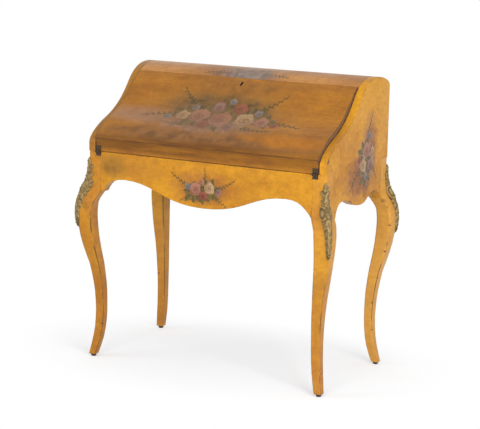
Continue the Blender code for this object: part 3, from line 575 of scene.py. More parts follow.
def make_painted_rose():
    """A full-blown rose: petals wound about a dark heart, lit from the upper left."""
    tree, given, result = motif_group("painted_rose", Radius=0.02, Turn=0)
    spot = about(given, given["Radius"])
    sway = noise(spot + given["Centre"] * (90, 70, 0), 1.7, 3, output="Color") * 0.5
    distance, angle, right, up = polar(spot + sway - 0.25)
    edge = reckon("COSINE", angle * (10 * math.pi)) * 0.08 + 0.92
    mask = ease(distance / edge, 1.0, 0.84)
    petal = reckon("FRACT", distance * 2.7 + angle * 2) ** 1.5
    heart = ease(distance, 0.05, 0.55, -0.35, 0.12)
    light = petal * 0.62 + (up * 0.30 + right * -0.22) + (heart + 0.2)
    bloom = mixed(ease(light, -0.1, 0.95), given["Shade"], given["Lit"])
    feed(result, {"Colour": mixed(mask * 0.95, given["Under"], bloom)})
    return tree


def make_painted_spray():
    """A bowed stem with leaves set alternately along it, smaller toward the tip."""
    tree, given, result = motif_group("painted_spray", Length=0.1, Turn=0, Bow=0.2, Pairs=6)
    pairs = given["Pairs"]
    along, up, _ = split(about(given, given["Length"]))
    off = up - along**2.0 * given["Bow"]
    rise = abs(off)
    on_stem = ease(along, 0.0, 0.03) * ease(along, 1.0, 0.95)
    stem = ease(rise, 0.014, 0.006)
    step = along * pairs + reckon("GREATER_THAN", off, 0.0) * 0.5
    run = reckon("FRACT", step) / pairs
    lean = math.radians(42)
    size = ease(along, 0.0, 1.1, 1.25, 0.55) / pairs
    out = (run * math.cos(lean) + rise * math.sin(lean)) / size
    aside = (rise * math.cos(lean) + run * -math.sin(lean)) / size
    swell = reckon("SINE", put(tree, "Clamp", {"Value": out})[0] * math.pi)
    blade = ease(swell * 0.27 - abs(aside), 0.0, 0.07)
    mask = reckon("MAXIMUM", stem, blade) * on_stem
    green = mixed(ease(aside, -0.12, 0.16, 0.1, 0.9), given["Shade"], given["Lit"])
    feed(result, {"Colour": mixed(mask * 0.85, given["Under"], green)})
    return tree


wood_grain = make_wood_grain()
painted_cloud = make_painted_cloud()
painted_leaves = make_painted_leaves()
painted_rose = make_painted_rose()
painted_spray = make_painted_spray()


def motif(group, centre, tints, **values):
    """One motif of a design: the group that paints it and what the group is given."""
    return group, {"Centre": (*centre, 0), "Lit": tints[0], "Shade": tints[1], **values}


def cloud(centre, spread, lit, shade, strength, ragged, grain):
    values = {"Spread": (*spread, 1), "Strength": strength, "Ragged": ragged, "Grain": grain}
    return motif(painted_cloud, centre, (lit, shade), **values)


def leaves(centre, reach, count, turn):
    return motif(painted_leaves, centre, LEAF, Reach=reach, Count=count, Turn=turn)


def rose(centre, radius, tints, turn):
    return motif(painted_rose, centre, tints, Radius=radius, Turn=turn)


def spray(centre, length, degrees, bow, pairs):
    turn = -math.radians(degrees)
    return motif(painted_spray, centre, LEAF, Length=length, Turn=turn, Bow=bow, Pairs=pairs)


def lay_motifs(canvas, under, motifs):
    """Painted motifs over a ground colour, each over the one before, with the wobble of a brush."""
    drift = noise(canvas, 55, 4, 0.6, "Color") - 0.5
    canvas = drift * (WOBBLE, WOBBLE, 0) + canvas
    for group, values in motifs:
        values = {"Under": under, "Canvas": canvas, **values}
        under = put(canvas.tree, "Group", values, node_tree=group)["Colour"]
    return under


def flat_canvas(across, up):
    """The plane that a design is painted on."""
    return put(across.tree, "CombineXYZ", {0: across, 1: up})[0]


def bare_where(inside, paint, place, along):
    """Paint that stops where a piece was left bare."""
    wood = put(place.tree, "Group", {"Place": place, "Along": along}, node_tree=wood_grain)["Colour"]
    return mixed(inside, paint, wood)


APRON_POSY = [
    cloud((-0.335, 0.640), (0.085, 0.055), (0.34, 0.155, 0.020, 1), (0.22, 0.100, 0.016, 1), 0.80, 0.9, 18),
    cloud((-0.215, 0.640), (0.100, 0.050), (0.52, 0.22, 0.024, 1), (0.40, 0.155, 0.020, 1), 0.45, 0.9, 16),
    cloud((0.0, 0.604), (0.150, 0.070), (0.44, 0.165, 0.030, 1), UMBER[0], 0.80, 1.0, 26),
    cloud((0.0, 0.592), (0.095, 0.044), *UMBER, 0.85, 1.0, 34),
    spray((-0.026, 0.600), 0.100, 166, -0.22, 8),
    spray((0.026, 0.598), 0.100, 12, 0.25, 8),
    spray((-0.020, 0.584), 0.070, 192, 0.20, 6),
    spray((0.022, 0.582), 0.070, -14, -0.20, 6),
    spray((0.004, 0.618), 0.050, 72, 0.3, 5),
    leaves((-0.024, 0.594), 0.056, 8, 0.4),
    leaves((0.028, 0.598), 0.052, 7, 1.1),
    leaves((0.002, 0.578), 0.040, 7, 2.0),
    rose((-0.026, 0.600), 0.0235, PINK, 0.5),
    rose((0.024, 0.606), 0.0215, CREAM, 2.1),
    rose((0.002, 0.580), 0.0175, CRIMSON, 1.2),
    rose((-0.054, 0.606), 0.0125, BLUE, 0.2),
    rose((0.056, 0.596), 0.0130, MAUVE, 2.7),
    rose((-0.004, 0.624), 0.0110, PINK, 1.9),
]


def plain_apron(place, paint):
    inside = ease(abs(split(place)[1]), APRON_INNER + APRON_PAINT_EDGE, APRON_INNER)
    return bare_where(inside, paint, place, GRAIN_ALONG_X)


def apron_decoration(place, paint):
    across, _, height = split(place)
    return plain_apron(place, lay_motifs(flat_canvas(across, height), paint, APRON_POSY))


def between(limits):
    """Where a board is clear of its joints at both ends."""
    return lambda place: ease(abs(split(place)[0]), *limits)


between_posts = between(APRON_OPEN)
apron_ground = (GOLD, BROWN, GOLD_TONE, GOLD_STREAKS)
front_paint = painted("painted_front", *apron_ground, apron_decoration, between_posts)
back_paint = painted("painted_back", *apron_ground, plain_apron, between_posts)
# The right end of the front arch is left a little full, so that it runs on into the leg.
FULL_FROM, FULL_TO, FULLNESS, FULL_BELOW = 0.330, 0.372, 0.0055, 0.60


def fuller_end(points):
    drop = FULLNESS * np.interp(points[:, 0], (FULL_FROM, FULL_TO), (0.0, 1.0))
    return points - np.outer(np.where(points[:, 2] < FULL_BELOW, drop, 0.0), (0, 0, 1))


finish(reshaped("front_apron", fuller_end), front_paint, joint=APRON_JOINT)
finish("back_apron", back_paint, joint=APRON_JOINT)


# Side panels
# Two boards sawn to the double curve of the fall, each with a shaped skirt between the posts.
# Outside they are painted gold with an upright spray of flowers; inside they are bare wood, with painted
# shadow toward the front.

SIDE_INNER, SIDE_PAINT_EDGE, SIDE_GLUE_EDGE = 0.4003, 0.0012, 0.0005
SIDE_JOINT = (9, 0.1735, 0.6865)
SIDE_OPEN = (0.690, 0.700)
SKIRT_OPEN = (0.168, 0.160)
GRAIN_ALONG_Y = (60, 4, 60)
SIDE_SPRAY = [
    cloud((0.020, 0.650), (0.145, 0.085), (0.34, 0.125, 0.030, 1), (0.17, 0.050, 0.020, 1), 0.95, 1.2, 24),
    cloud((0.085, 0.750), (0.070, 0.120), (0.38, 0.150, 0.045, 1), (0.19, 0.058, 0.026, 1), 0.80, 1.2, 24),
    cloud((0.060, 0.700), (0.075, 0.095), (0.36, 0.27, 0.21, 1), (0.17, 0.125, 0.105, 1), 0.75, 0.9, 26),
    spray((0.066, 0.745), 0.110, 84, -0.25, 8),
    spray((0.020, 0.672), 0.105, 206, 0.25, 7),
    spray((0.088, 0.680), 0.075, -32, -0.25, 6),
    spray((0.046, 0.640), 0.060, -100, 0.2, 5),
    leaves((0.056, 0.715), 0.070, 8, 0.7),
    leaves((0.062, 0.662), 0.062, 7, 0.2),
    rose((0.060, 0.728), 0.0290, PINK, 0.9),
    rose((0.036, 0.682), 0.0250, CREAM, 2.2),
    rose((0.086, 0.676), 0.0220, MAUVE, 0.3),
    rose((0.078, 0.772), 0.0150, BLUE, 1.6),
    rose((0.008, 0.700), 0.0140, CRIMSON, 2.9),
    rose((0.060, 0.642), 0.0140, BLUE, 0.6),
    rose((0.102, 0.724), 0.0130, CREAM, 1.1),
]
# Two dark patches on the outer face: one along the skirt's lower edge near the front, one near the front
# edge at the height of the fall's lip.
SIDE_DARK_PATCHES = [
    cloud((-0.070, 0.578), (0.040, 0.010), RUBBED_WOOD, RUBBED_WOOD, 0.95, 0.9, 60),
    cloud((-0.2108, 0.7285), (0.0075, 0.0135), RUBBED_WOOD, RUBBED_WOOD, 0.95, 0.5, 120),
]
EDGE_UMBER, UMBER_SHARE = (0.24, 0.105, 0.022, 1), 0.65
# Near black, painted as shadow: on the side panels' inner faces toward the front, and in and about the
# keyhole.
PAINTED_SHADOW = (0.006, 0.003, 0.0015, 1)
INNER_SHADOW_FROM, INNER_SHADOW_TO = -0.150, -0.190
SIDE_TOP_TONE, SIDE_TOP = -0.16, (0.78, 0.90)


def side_tone(place):
    """Paler toward the top."""
    return ease(split(place)[2], *SIDE_TOP, GOLD_TONE, SIDE_TOP_TONE)


def side_decoration(place, paint):
    """Flowers and dark patches outside, umber on the left panel's edge, and bare wood inside, with painted
    shadow toward the front.
    """
    across, depth, height = split(place)
    canvas = flat_canvas(depth, height)
    paint = lay_motifs(canvas, paint, SIDE_SPRAY)
    facing = abs(split(object_normal(place))[0])
    paint = mixed(ease(facing, 0.3, 0.6), paint, lay_motifs(canvas, paint, SIDE_DARK_PATCHES))
    left_edge = ease(facing, 0.8, 0.5) * ease(across, MIDDLE, -MIDDLE)
    paint = mixed(left_edge * UMBER_SHARE, paint, EDGE_UMBER)
    inside = ease(abs(across), SIDE_INNER + SIDE_PAINT_EDGE, SIDE_INNER)
    board = bare_where(inside, paint, place, GRAIN_ALONG_Y)
    # Painted shadow on the bare inner face toward the front.
    return mixed(inside * ease(depth, INNER_SHADOW_FROM, INNER_SHADOW_TO), board, PAINTED_SHADOW)


def clear_of_posts(place):
    _, depth, height = split(place)
    return reckon("MAXIMUM", ease(height, *SIDE_OPEN), ease(abs(depth), *SKIRT_OPEN))


# The wing beside each front leg is pared thin from behind: its inner edge runs from the arch to the post.
WING_ARCH, WING_POST = (-0.105, 0.5905), (-0.175, 0.5720)


def pared_wing(points):
    points = points.copy()
    share = np.clip((points[:, 1] - WING_ARCH[0]) / (WING_POST[0] - WING_ARCH[0]), 0, 1)
    edge = WING_ARCH[1] + (WING_POST[1] - WING_ARCH[1]) * share**2
    wing = (np.abs(points[:, 0]) <= SIDE_INNER) & (points[:, 1] <= WING_ARCH[0])
    points[wing, 2] = np.maximum(points[wing, 2], edge[wing])
    return points


side_paint = painted("painted_side", GOLD, BROWN, side_tone, GOLD_STREAKS, side_decoration, clear_of_posts)
for side in ("left", "right"):
    board = reshaped(side + "_side_panel", pared_wing)
    finish(board, side_paint, joint=SIDE_JOINT, inner=SIDE_INNER + SIDE_GLUE_EDGE)
    finish(reshaped(f"front_{side}_skirt_knee_block", pared_wing), leg_paint)


# Inside boards
# The back, the writing bed on its ledgers, the stops, and the shelf and dividers of the compartment.
# They are planed hardwood, stained and waxed, and were never painted.

WAXED_LIGHT = (0.27, 0.125, 0.048, 1)
WAXED_DARK = (0.105, 0.043, 0.016, 1)
GRAIN_ALONG_Z = (60, 60, 4)


def waxed(name, along, light=WAXED_LIGHT, dark=WAXED_DARK):
    """Stained and waxed wood with its grain along a board."""
    material, shader, place = new_material(name)
    values = {"Place": place, "Along": along, "Light": light, "Dark": dark}
    wood = put(place.tree, "Group", values, node_tree=wood_grain)
    looks = {
        "Base Color": mixed(worn_edges(place), wood["Colour"], light),
        "Roughness": ease(noise(place, 18), 0.3, 0.7, 0.36, 0.55),
        "Normal": bumped(wood["Height"], 0.2, 0.0003),
    }
    feed(shader, looks)
    return material


waxed_across = waxed("waxed_wood_across", GRAIN_ALONG_X)
waxed_deep = waxed("waxed_wood_deep", GRAIN_ALONG_Y)
waxed_upright = waxed("waxed_wood_upright", GRAIN_ALONG_Z)
for node in ("back_panel", "writing_bed", "front_bed_ledger", "pigeonhole_shelf"):
    finish(node, waxed_across)
for side in ("left", "right"):
    finish(side + "_bed_ledger", waxed_deep)
    finish(side + "_fall_stop", waxed_deep)
    finish(side + "_drawer_partition", waxed_deep)
    finish(side + "_pigeonhole_divider", waxed_upright)


# Drawers
# Three small dovetailed boxes under the pigeonholes, with veneered fronts and turned brass knobs.
# The knobs are screwed through the fronts and have worn bright where fingers take them.

FRONT_LIGHT = (0.36, 0.165, 0.058, 1)
FRONT_DARK = (0.15, 0.058, 0.020, 1)
BRASS_BRIGHT = (0.62, 0.42, 0.16, 1)
BRASS_DULL = (0.24, 0.155, 0.06, 1)
METAL_EDGE = 0.0002


def make_tarnish():
    """Old metal: dull in the hollows and in patches, bright where it is touched."""
    inputs = {
        "Place": ("Vector", (0, 0, 0)),
        "Grain": ("Float", 160),
        "Raised": ("Float", 0.5),
        "Bright": ("Color", BRASS_BRIGHT),
        "Dull": ("Color", BRASS_DULL),
    }
    outputs = {"Colour": "Color", "Gloss": "Float", "Height": "Float"}
    tree, given, result = effect("tarnish", inputs, outputs)
    patches = noise(given["Place"], given["Grain"], 5, 0.6)
    share = ease(given["Raised"] * 0.9 + patches, 0.62, 1.3)
    colour = mixed(share, given["Dull"], given["Bright"])
    feed(result, {"Colour": colour, "Gloss": ease(share, 0.0, 1.0, 0.58, 0.32), "Height": patches})
    return tree


tarnish = make_tarnish()


def raised_edges(place):
    return ease(put(place.tree, "NewGeometry")["Pointiness"], 0.44, 0.56)


def old_metal(name, bright, dull, grain, metallic=1.0, raised=raised_edges, shadow_mask=None, matt=0.0):
    """Metal with its tarnish, for the knobs, the lock, the hinges and the mounts."""
    material, shader, place = new_material(name)
    values = {"Place": place, "Grain": grain, "Raised": raised(place), "Bright": bright, "Dull": dull}
    metal = put(place.tree, "Group", values, node_tree=tarnish)
    looks = {
        # Where a shadow mask is given, painted shadow is laid over the metal.
        "Base Color": mixed(shadow_mask(place), metal["Colour"], PAINTED_SHADOW) if shadow_mask else metal["Colour"],
        "Roughness": metal["Gloss"] + matt,
        "Normal": bumped(metal["Height"], 0.15, 0.0002),
        "Metallic": metallic,
    }
    feed(shader, looks)
    return material


drawer_front_wood = waxed("waxed_drawer_front", GRAIN_ALONG_X, FRONT_LIGHT, FRONT_DARK)
drawer_box_wood = waxed("plain_drawer_box", GRAIN_ALONG_Y, BARE_LIGHT, BARE_DARK)
brass = old_metal("old_brass", BRASS_BRIGHT, BRASS_DULL, 160)
for drawer in ("left", "centre", "right"):
    finish(drawer + "_drawer_front", drawer_front_wood)
    finish(drawer + "_drawer_box", drawer_box_wood)
    finish(drawer + "_drawer_knob", brass, METAL_EDGE)


# Top board
# One crowned board that rolls over at the front to meet the fall, and comes down a little behind.
# It is painted gold, paler than the fall, with a misty cluster of flowers in the middle.

TOP_GOLD = (0.585, 0.260, 0.065, 1)
TOP_BROWN = (0.40, 0.165, 0.042, 1)
TOP_TONE = 0.36
TOP_STREAKS = (5, 22, 22)
TOP_JOINT = (0.3985, 9, 9)
TOP_OPEN = (0.396, 0.388)
TOP_CLUSTER = [
    spray((-0.060, 0.060), 0.095, 172, 0.2, 7),
    spray((0.055, 0.060), 0.095, 8, -0.2, 7),
    leaves((-0.010, 0.060), 0.060, 8, 0.3),
    leaves((0.050, 0.062), 0.046, 7, 1.3),
    rose((-0.022, 0.066), 0.026, MAUVE, 0.4),
    rose((0.024, 0.058), 0.024, CREAM, 1.9),
    rose((0.062, 0.070), 0.015, BLUE, 0.9),
    rose((-0.064, 0.056), 0.017, PINK, 2.4),
    cloud((-0.015, 0.065), (0.185, 0.085), (0.27, 0.17, 0.12, 1), (0.135, 0.08, 0.056, 1), 0.72, 1.1, 22),
    cloud((0.010, 0.045), (0.11, 0.045), (0.36, 0.285, 0.235, 1), (0.20, 0.155, 0.130, 1), 0.55, 0.9, 30),
]


def top_decoration(place, paint):
    across, depth, _ = split(place)
    paint = lay_motifs(flat_canvas(across, depth), paint, TOP_CLUSTER)
    up = split(object_normal(place))[2]
    return bare_where(ease(up, -0.3, -0.5), paint, place, GRAIN_ALONG_X)


top_ground = (TOP_GOLD, TOP_BROWN, TOP_TONE, TOP_STREAKS)
top_paint = painted("painted_top", *top_ground, top_decoration, between(TOP_OPEN))
finish("top_board", top_paint, joint=TOP_JOINT)


# Fall
# One thick board shaped to a double curve, which is the front when shut and the writing surface when open.
# Its show face is painted a browner gold, with a reclining bouquet, and its inner face holds the leather.

FALL_GOLD = (0.45, 0.176, 0.012, 1)
FALL_BROWN = (0.29, 0.103, 0.012, 1)
FALL_TONE = 0.38
FALL_STREAKS = (4, 22, 22)
FALL_END_BROWN = (0.20, 0.112, 0.062, 1)
LIP_BROWN = (0.150, 0.053, 0.004, 1)
# Painted shade along the crease where the lip's nose turns under: its colour, its rise and half its width.
CREASE_SHADE_BROWN = (0.085, 0.030, 0.006, 1)
CREASE_RISE, CREASE_HALF = 0.0284, 0.0011
LIP_TOP, LIP_NOSE, LIP_HOLLOW, LIP_FOOT = 0.064, 0.036, 0.016, 0.004
SMOKE = ((0.24, 0.105, 0.032, 1), (0.120, 0.052, 0.018, 1))
MIST = ((0.31, 0.175, 0.115, 1), (0.175, 0.098, 0.068, 1))
GLADE = ((0.20, 0.100, 0.026, 1), (0.075, 0.046, 0.020, 1))
KEYHOLE_RISE, KEYHOLE_HALF, KEYHOLE_ROOM = 0.3285, 0.0060, 0.0125
# The painted shadow about the keyhole: half its width and half its length up the slope.
KEYHOLE_SHADOW_HALF = (0.0043, 0.0125)
hinge = next(joint for joint in frame["joints"] if joint["name"] == "fall_hinge")
FALL_TILT = math.pi - math.radians(hinge["range_deg"][1])
FALL_SLOPE = (0, math.cos(FALL_TILT), math.sin(FALL_TILT))
FALL_OUTWARD = (0, -math.sin(FALL_TILT), math.cos(FALL_TILT))
FALL_BOUQUET = [
    cloud((-0.10, 0.070), (0.40, 0.045), *SMOKE, 0.85, 0.8, 16),
    cloud((0.24, 0.060), (0.26, 0.030), *SMOKE, 0.55, 0.8, 16),
    cloud((-0.30, 0.155), (0.17, 0.060), (0.38, 0.20, 0.11, 1), (0.31, 0.155, 0.082, 1), 0.65, 0.6, 14),
    cloud((-0.02, 0.235), (0.330, 0.085), (0.28, 0.135, 0.030, 1), GLADE[0], 0.70, 1.1, 18),
    cloud((-0.03, 0.215), (0.260, 0.080), *GLADE, 0.95, 1.2, 20),
    cloud((-0.05, 0.125), (0.255, 0.045), *MIST, 0.85, 0.8, 20),
    cloud((0.27, 0.085), (0.150, 0.040), (0.47, 0.165, 0.008, 1), (0.38, 0.130, 0.008, 1), 0.8, 0.8, 20),
    cloud((0.0, 0.315), (0.260, 0.050), (0.33, 0.135, 0.020, 1), (0.22, 0.088, 0.016, 1), 0.75, 0.9, 16),
    spray((-0.130, 0.175), 0.160, 176, 0.20, 8),
    spray((-0.105, 0.215), 0.120, 148, -0.20, 7),
    spray((0.120, 0.168), 0.160, 4, -0.15, 8),
    spray((0.095, 0.210), 0.125, 30, 0.22, 7),
    spray((-0.010, 0.240), 0.048, 75, 0.25, 5),
    spray((-0.075, 0.135), 0.110, 196, -0.2, 7),
    spray((0.085, 0.132), 0.110, -14, 0.2, 7),
    leaves((-0.130, 0.175), 0.070, 7, 1.4),
    leaves((-0.080, 0.185), 0.088, 8, 0.2),
    leaves((0.000, 0.170), 0.096, 9, 0.9),
    leaves((0.082, 0.180), 0.086, 8, 1.7),
    leaves((0.135, 0.170), 0.066, 7, 2.3),
    rose((-0.036, 0.222), 0.026, MAUVE, 0.3),
    rose((0.042, 0.222), 0.028, CRIMSON, 1.3),
    rose((-0.146, 0.172), 0.028, CREAM, 2.0),
    rose((0.140, 0.168), 0.029, PINK, 0.8),
    rose((-0.086, 0.176), 0.041, PINK, 1.1),
    rose((0.078, 0.170), 0.040, CREAM, 0.1),
    rose((-0.006, 0.164), 0.046, PINK, 2.5),
    rose((-0.052, 0.134), 0.024, CRIMSON, 0.7),
    rose((0.044, 0.130), 0.023, MAUVE, 1.8),
    rose((-0.118, 0.214), 0.016, BLUE, 2.2),
    rose((0.112, 0.210), 0.016, BLUE, 0.5),
    rose((-0.196, 0.160), 0.016, BLUE, 1.4),
    rose((0.190, 0.156), 0.016, CRIMSON, 2.6),
    rose((0.004, 0.250), 0.015, BLUE, 0.9),
    cloud((-0.02, 0.165), (0.30, 0.095), (0.25, 0.120, 0.052, 1), GLADE[0], 0.44, 1.3, 34),
]


def fall_rise(place):
    """How far up the slope of the shut fall a place is from the hinges' axis."""
    return measure("DOT_PRODUCT", place, FALL_SLOPE) - Vector(hinge["pos_m"]).dot(Vector(FALL_SLOPE))


def near_keyhole(place):
    beside = reckon("COMPARE", split(place)[0], 0.0, KEYHOLE_HALF)
    return beside * reckon("COMPARE", fall_rise(place), KEYHOLE_RISE, KEYHOLE_ROOM)


def keyhole_painted_shadow(across, rise):
    """Painted shadow about the keyhole, which widens the dark of the hole."""
    aside, along = across / KEYHOLE_SHADOW_HALF[0], (rise - KEYHOLE_RISE) / KEYHOLE_SHADOW_HALF[1]
    return ease(aside**2 + along**2, 1.0, 0.6)


def fall_decoration(place, paint):
    """The bouquet, a patchy brown lip with painted shade along its crease, brown ends, a bare inner face
    and painted shadow in and about the keyhole.
    """
    across, rise = split(place)[0], fall_rise(place)
    paint = lay_motifs(flat_canvas(across, rise), paint, FALL_BOUQUET)
    # A darker brown band over the lip, in patches.
    lip_band = ease(rise, LIP_TOP, LIP_NOSE) * ease(rise, LIP_FOOT, LIP_HOLLOW)
    patches = ease(noise(place * FALL_STREAKS, 2.2, 4), 0.30, 0.56, 0.50, 1.0)
    patches = patches * ease(across, 0.05, 0.30, 1.0, 0.55) * ease(across, -0.35, -0.10, 0.75, 1.0)
    paint = mixed(lip_band * patches, paint, LIP_BROWN)
    # Painted shade along the crease, broken in patches.
    crease_breaks = ease(noise(place * (1, 4, 4), 9, 4), 0.38, 0.66, 0.12, 0.65)
    crease = ease(abs(rise - CREASE_RISE), CREASE_HALF, 0.3 * CREASE_HALF) * crease_breaks
    paint = mixed(crease, paint, CREASE_SHADE_BROWN)
    normal = object_normal(place)
    paint = mixed(ease(abs(split(normal)[0]), 0.6, 0.8), paint, FALL_END_BROWN)
    facing = measure("DOT_PRODUCT", normal, FALL_OUTWARD)
    paint = bare_where(ease(facing, -0.5, -0.8), paint, place, GRAIN_ALONG_X)
    # Painted shadow inside the keyhole and about it.
    keyhole_walls_shadow = near_keyhole(place) * ease(facing, 0.75, 0.45)
    return mixed(reckon("MAXIMUM", keyhole_walls_shadow, keyhole_painted_shadow(across, rise)), paint, PAINTED_SHADOW)


fall_ground = (FALL_GOLD, FALL_BROWN, FALL_TONE, FALL_STREAKS)
finish("fall_panel", painted("painted_fall", *fall_ground, fall_decoration))


# Writing leather
# A thin skiver let into the inner face of the fall and glued down, with a border tooled in gold.
# It is grained goatskin, dark where hands and paper have polished it.

LEATHER_LIGHT = (0.105, 0.042, 0.018, 1)
LEATHER_DARK = (0.046, 0.019, 0.010, 1)
TOOLED_GOLD = (0.52, 0.33, 0.10, 1)
# The tooled lines: their distance from the edge and half their width.
TOOL_MARGINS = ((0.012, 0.0011), (0.0165, 0.0005))


def skiver():
    """Grained leather with two tooled lines round its edge."""
    material, shader, place = new_material("tooled_leather")
    grain = put(place.tree, "TexVoronoi", {"Vector": place, "Scale": 900}, feature="SMOOTH_F1")["Distance"]
    clouds = ease(noise(place, 12, 4), 0.35, 0.65)
    low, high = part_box("writing_leather")
    start, end = (corner.dot(Vector(FALL_SLOPE)) for corner in (low, high))
    from_middle = abs(measure("DOT_PRODUCT", place, FALL_SLOPE) - (start + end) / 2)
    margin = reckon("MINIMUM", (end - start) / 2 - from_middle, high.x - abs(split(place)[0]))
    lines = [reckon("COMPARE", margin, inset, width) for inset, width in TOOL_MARGINS]
    tooled = reckon("MAXIMUM", *lines) * ease(noise(place, 60, 4), 0.38, 0.52)
    looks = {
        "Base Color": mixed(tooled, mixed(clouds, LEATHER_DARK, LEATHER_LIGHT), TOOLED_GOLD),
        "Roughness": ease(clouds, 0, 1, 0.42, 0.58),
        "Normal": bumped(grain - tooled, 0.3, 0.0003),
    }
    feed(shader, looks)
    return material


finish("writing_leather", skiver(), METAL_EDGE)


# Lock
# An iron and brass half-mortise lock let into the top of the fall; its bolt shoots into the strike.
# The lock case and the strike are brass, the bolt is iron, and the case behind the keyhole is painted black
# as shadow.

IRON_BRIGHT = (0.050, 0.028, 0.012, 1)
IRON_DULL = (0.014, 0.007, 0.003, 1)

dark_iron = old_metal("dark_iron", IRON_BRIGHT, IRON_DULL, 220, 0.3)
# Painted shadow on the lock case behind the keyhole.
lock_brass = old_metal("lock_brass", BRASS_BRIGHT, BRASS_DULL, 160, shadow_mask=near_keyhole)
finish("lock_case", lock_brass, METAL_EDGE)
finish("strike_plate", brass, METAL_EDGE)
finish("lock_bolt", dark_iron, METAL_EDGE)


# Hinges
# Two butt hinges at the ends of the fall's lip, of iron gone nearly black, each with a loose pin.
# Each leaf is held by a slotted wood screw.

SCREW_RADIUS = 0.0021
SCREW_RISE = 0.0006
SCREW_SLOT = 0.0006
SCREW_STEPS = 14
# The rings of the head: the height of each and its share of the radius.
SCREW_RINGS = ((-0.0004, 1.0), (0.5 * SCREW_RISE, 0.96), (SCREW_RISE, 0.72))


def slotted_screw(name, centre, normal, body):
    """The low domed head of a wood screw, in two halves with its slot between them."""
    points, faces = [], []
    start = math.asin(SCREW_SLOT / 2 / SCREW_RADIUS)
    ring = SCREW_STEPS + 1
    for half, hand in ((0, 1), (math.pi, -1)):
        first = len(points)
        for height, share in SCREW_RINGS:
            side = SCREW_RADIUS * share
            for k in range(ring):
                angle = half + start + (math.pi - 2 * start) * k / SCREW_STEPS
                y = max(abs(side * math.sin(angle)), SCREW_SLOT / 2) * hand
                points.append((side * math.cos(angle), y, height))
        for row in (0, 1):
            for k in range(ring):
                a, b = first + row * ring + k, first + row * ring + (k + 1) % ring
                faces.append((a, b, b + ring, a + ring))
        faces.append(tuple(first + 2 * ring + k for k in range(ring)))
        faces.append(tuple(first + k for k in reversed(range(ring))))
    mesh = bpy.data.meshes.new(name)
    mesh.from_pydata(points, [], faces)
    mesh.materials.append(dark_iron)
    turn = Vector(normal).to_track_quat("Z", "Y").to_matrix().to_4x4()
    return new_piece(mesh, body, place=Matrix.Translation(centre) @ turn)


for side in ("left", "right"):
    finish(f"{side}_hinge_pin", dark_iron, METAL_EDGE)
    for part, body in (("fixed_leaf", "carcase"), ("moving_leaf", "fall")):
        leaf = finish(f"{side}_hinge_{part}", dark_iron, METAL_EDGE)
        low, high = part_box(leaf.name)
        before = Vector(((low.x + high.x) / 2, low.y - 0.1, (low.z + high.z) / 2))
        solid = BVHTree.FromObject(leaf, bpy.context.evaluated_depsgraph_get())
        met = solid.ray_cast(before, Vector((0, 1, 0)))
        slotted_screw(f"{side}_hinge_{part}_screw", met[0], met[1], body)


# Knee mounts
# Four cast and chased gilt bronze mounts of leaves about a boss, bent over the corner of each knee.
# They are pinned to the wood, and the gilding has gone to an olive brown except on the high parts.

MOUNT_TOP = 0.664
MOUNT_STEP = 0.0008
MOUNT_MARGIN = 0.002
MOUNT_BACK = -0.0010
MOUNT_EDGE = 0.0012
MOUNT_REACH = 0.03
MOUNT_RIM, RIM_SHARE = 0.003, 0.35
GROUND_SHARE, CHASED_HEIGHT = 0.95, 0.0032
# How much more the cartouche and the shoulders bulge: drop and height.
MOUNT_BULGE = (
    (0.0, 0.0), (0.035, 0.0015), (0.070, 0.0025), (0.098, 0.0055), (0.125, 0.0022), (0.229, 0.0010),
)
NORMAL_PASSES, GROUND_PASSES, CHASED_PASSES = 6, 40, 14
BACK_MOUNT_WIDTH = 0.75
# The mount's outline: the drop from its top and its half width on each face.
MOUNT_OUTLINE = (
    (0.0000, 0.0014), (0.0080, 0.0062), (0.0180, 0.0085), (0.0235, 0.0088), (0.0275, 0.0165),
    (0.0340, 0.0178), (0.0420, 0.0110), (0.0500, 0.0114), (0.0550, 0.0168), (0.0600, 0.0162),
    (0.0660, 0.0130), (0.0760, 0.0200), (0.0880, 0.0240), (0.1000, 0.0245), (0.1100, 0.0222),
    (0.1180, 0.0180), (0.1240, 0.0192), (0.1320, 0.0152), (0.1400, 0.0162), (0.1520, 0.0130),
    (0.1600, 0.0140), (0.1720, 0.0108), (0.1800, 0.0115), (0.1920, 0.0088), (0.2000, 0.0094),
    (0.2100, 0.0068), (0.2170, 0.0060), (0.2240, 0.0028), (0.2290, 0.0010),
)
SKIN_RAYS = 61
SKIN_SWEEP = math.radians(118)
SKIN_CORE = 0.010
CASE_HALF = (0.425, 0.220)
SKIN_REACH = 0.2
BRONZE_BRIGHT = (0.355, 0.232, 0.074, 1)
BRONZE_DULL = (0.115, 0.074, 0.025, 1)
TIP_DARK = (0.200, 0.222)
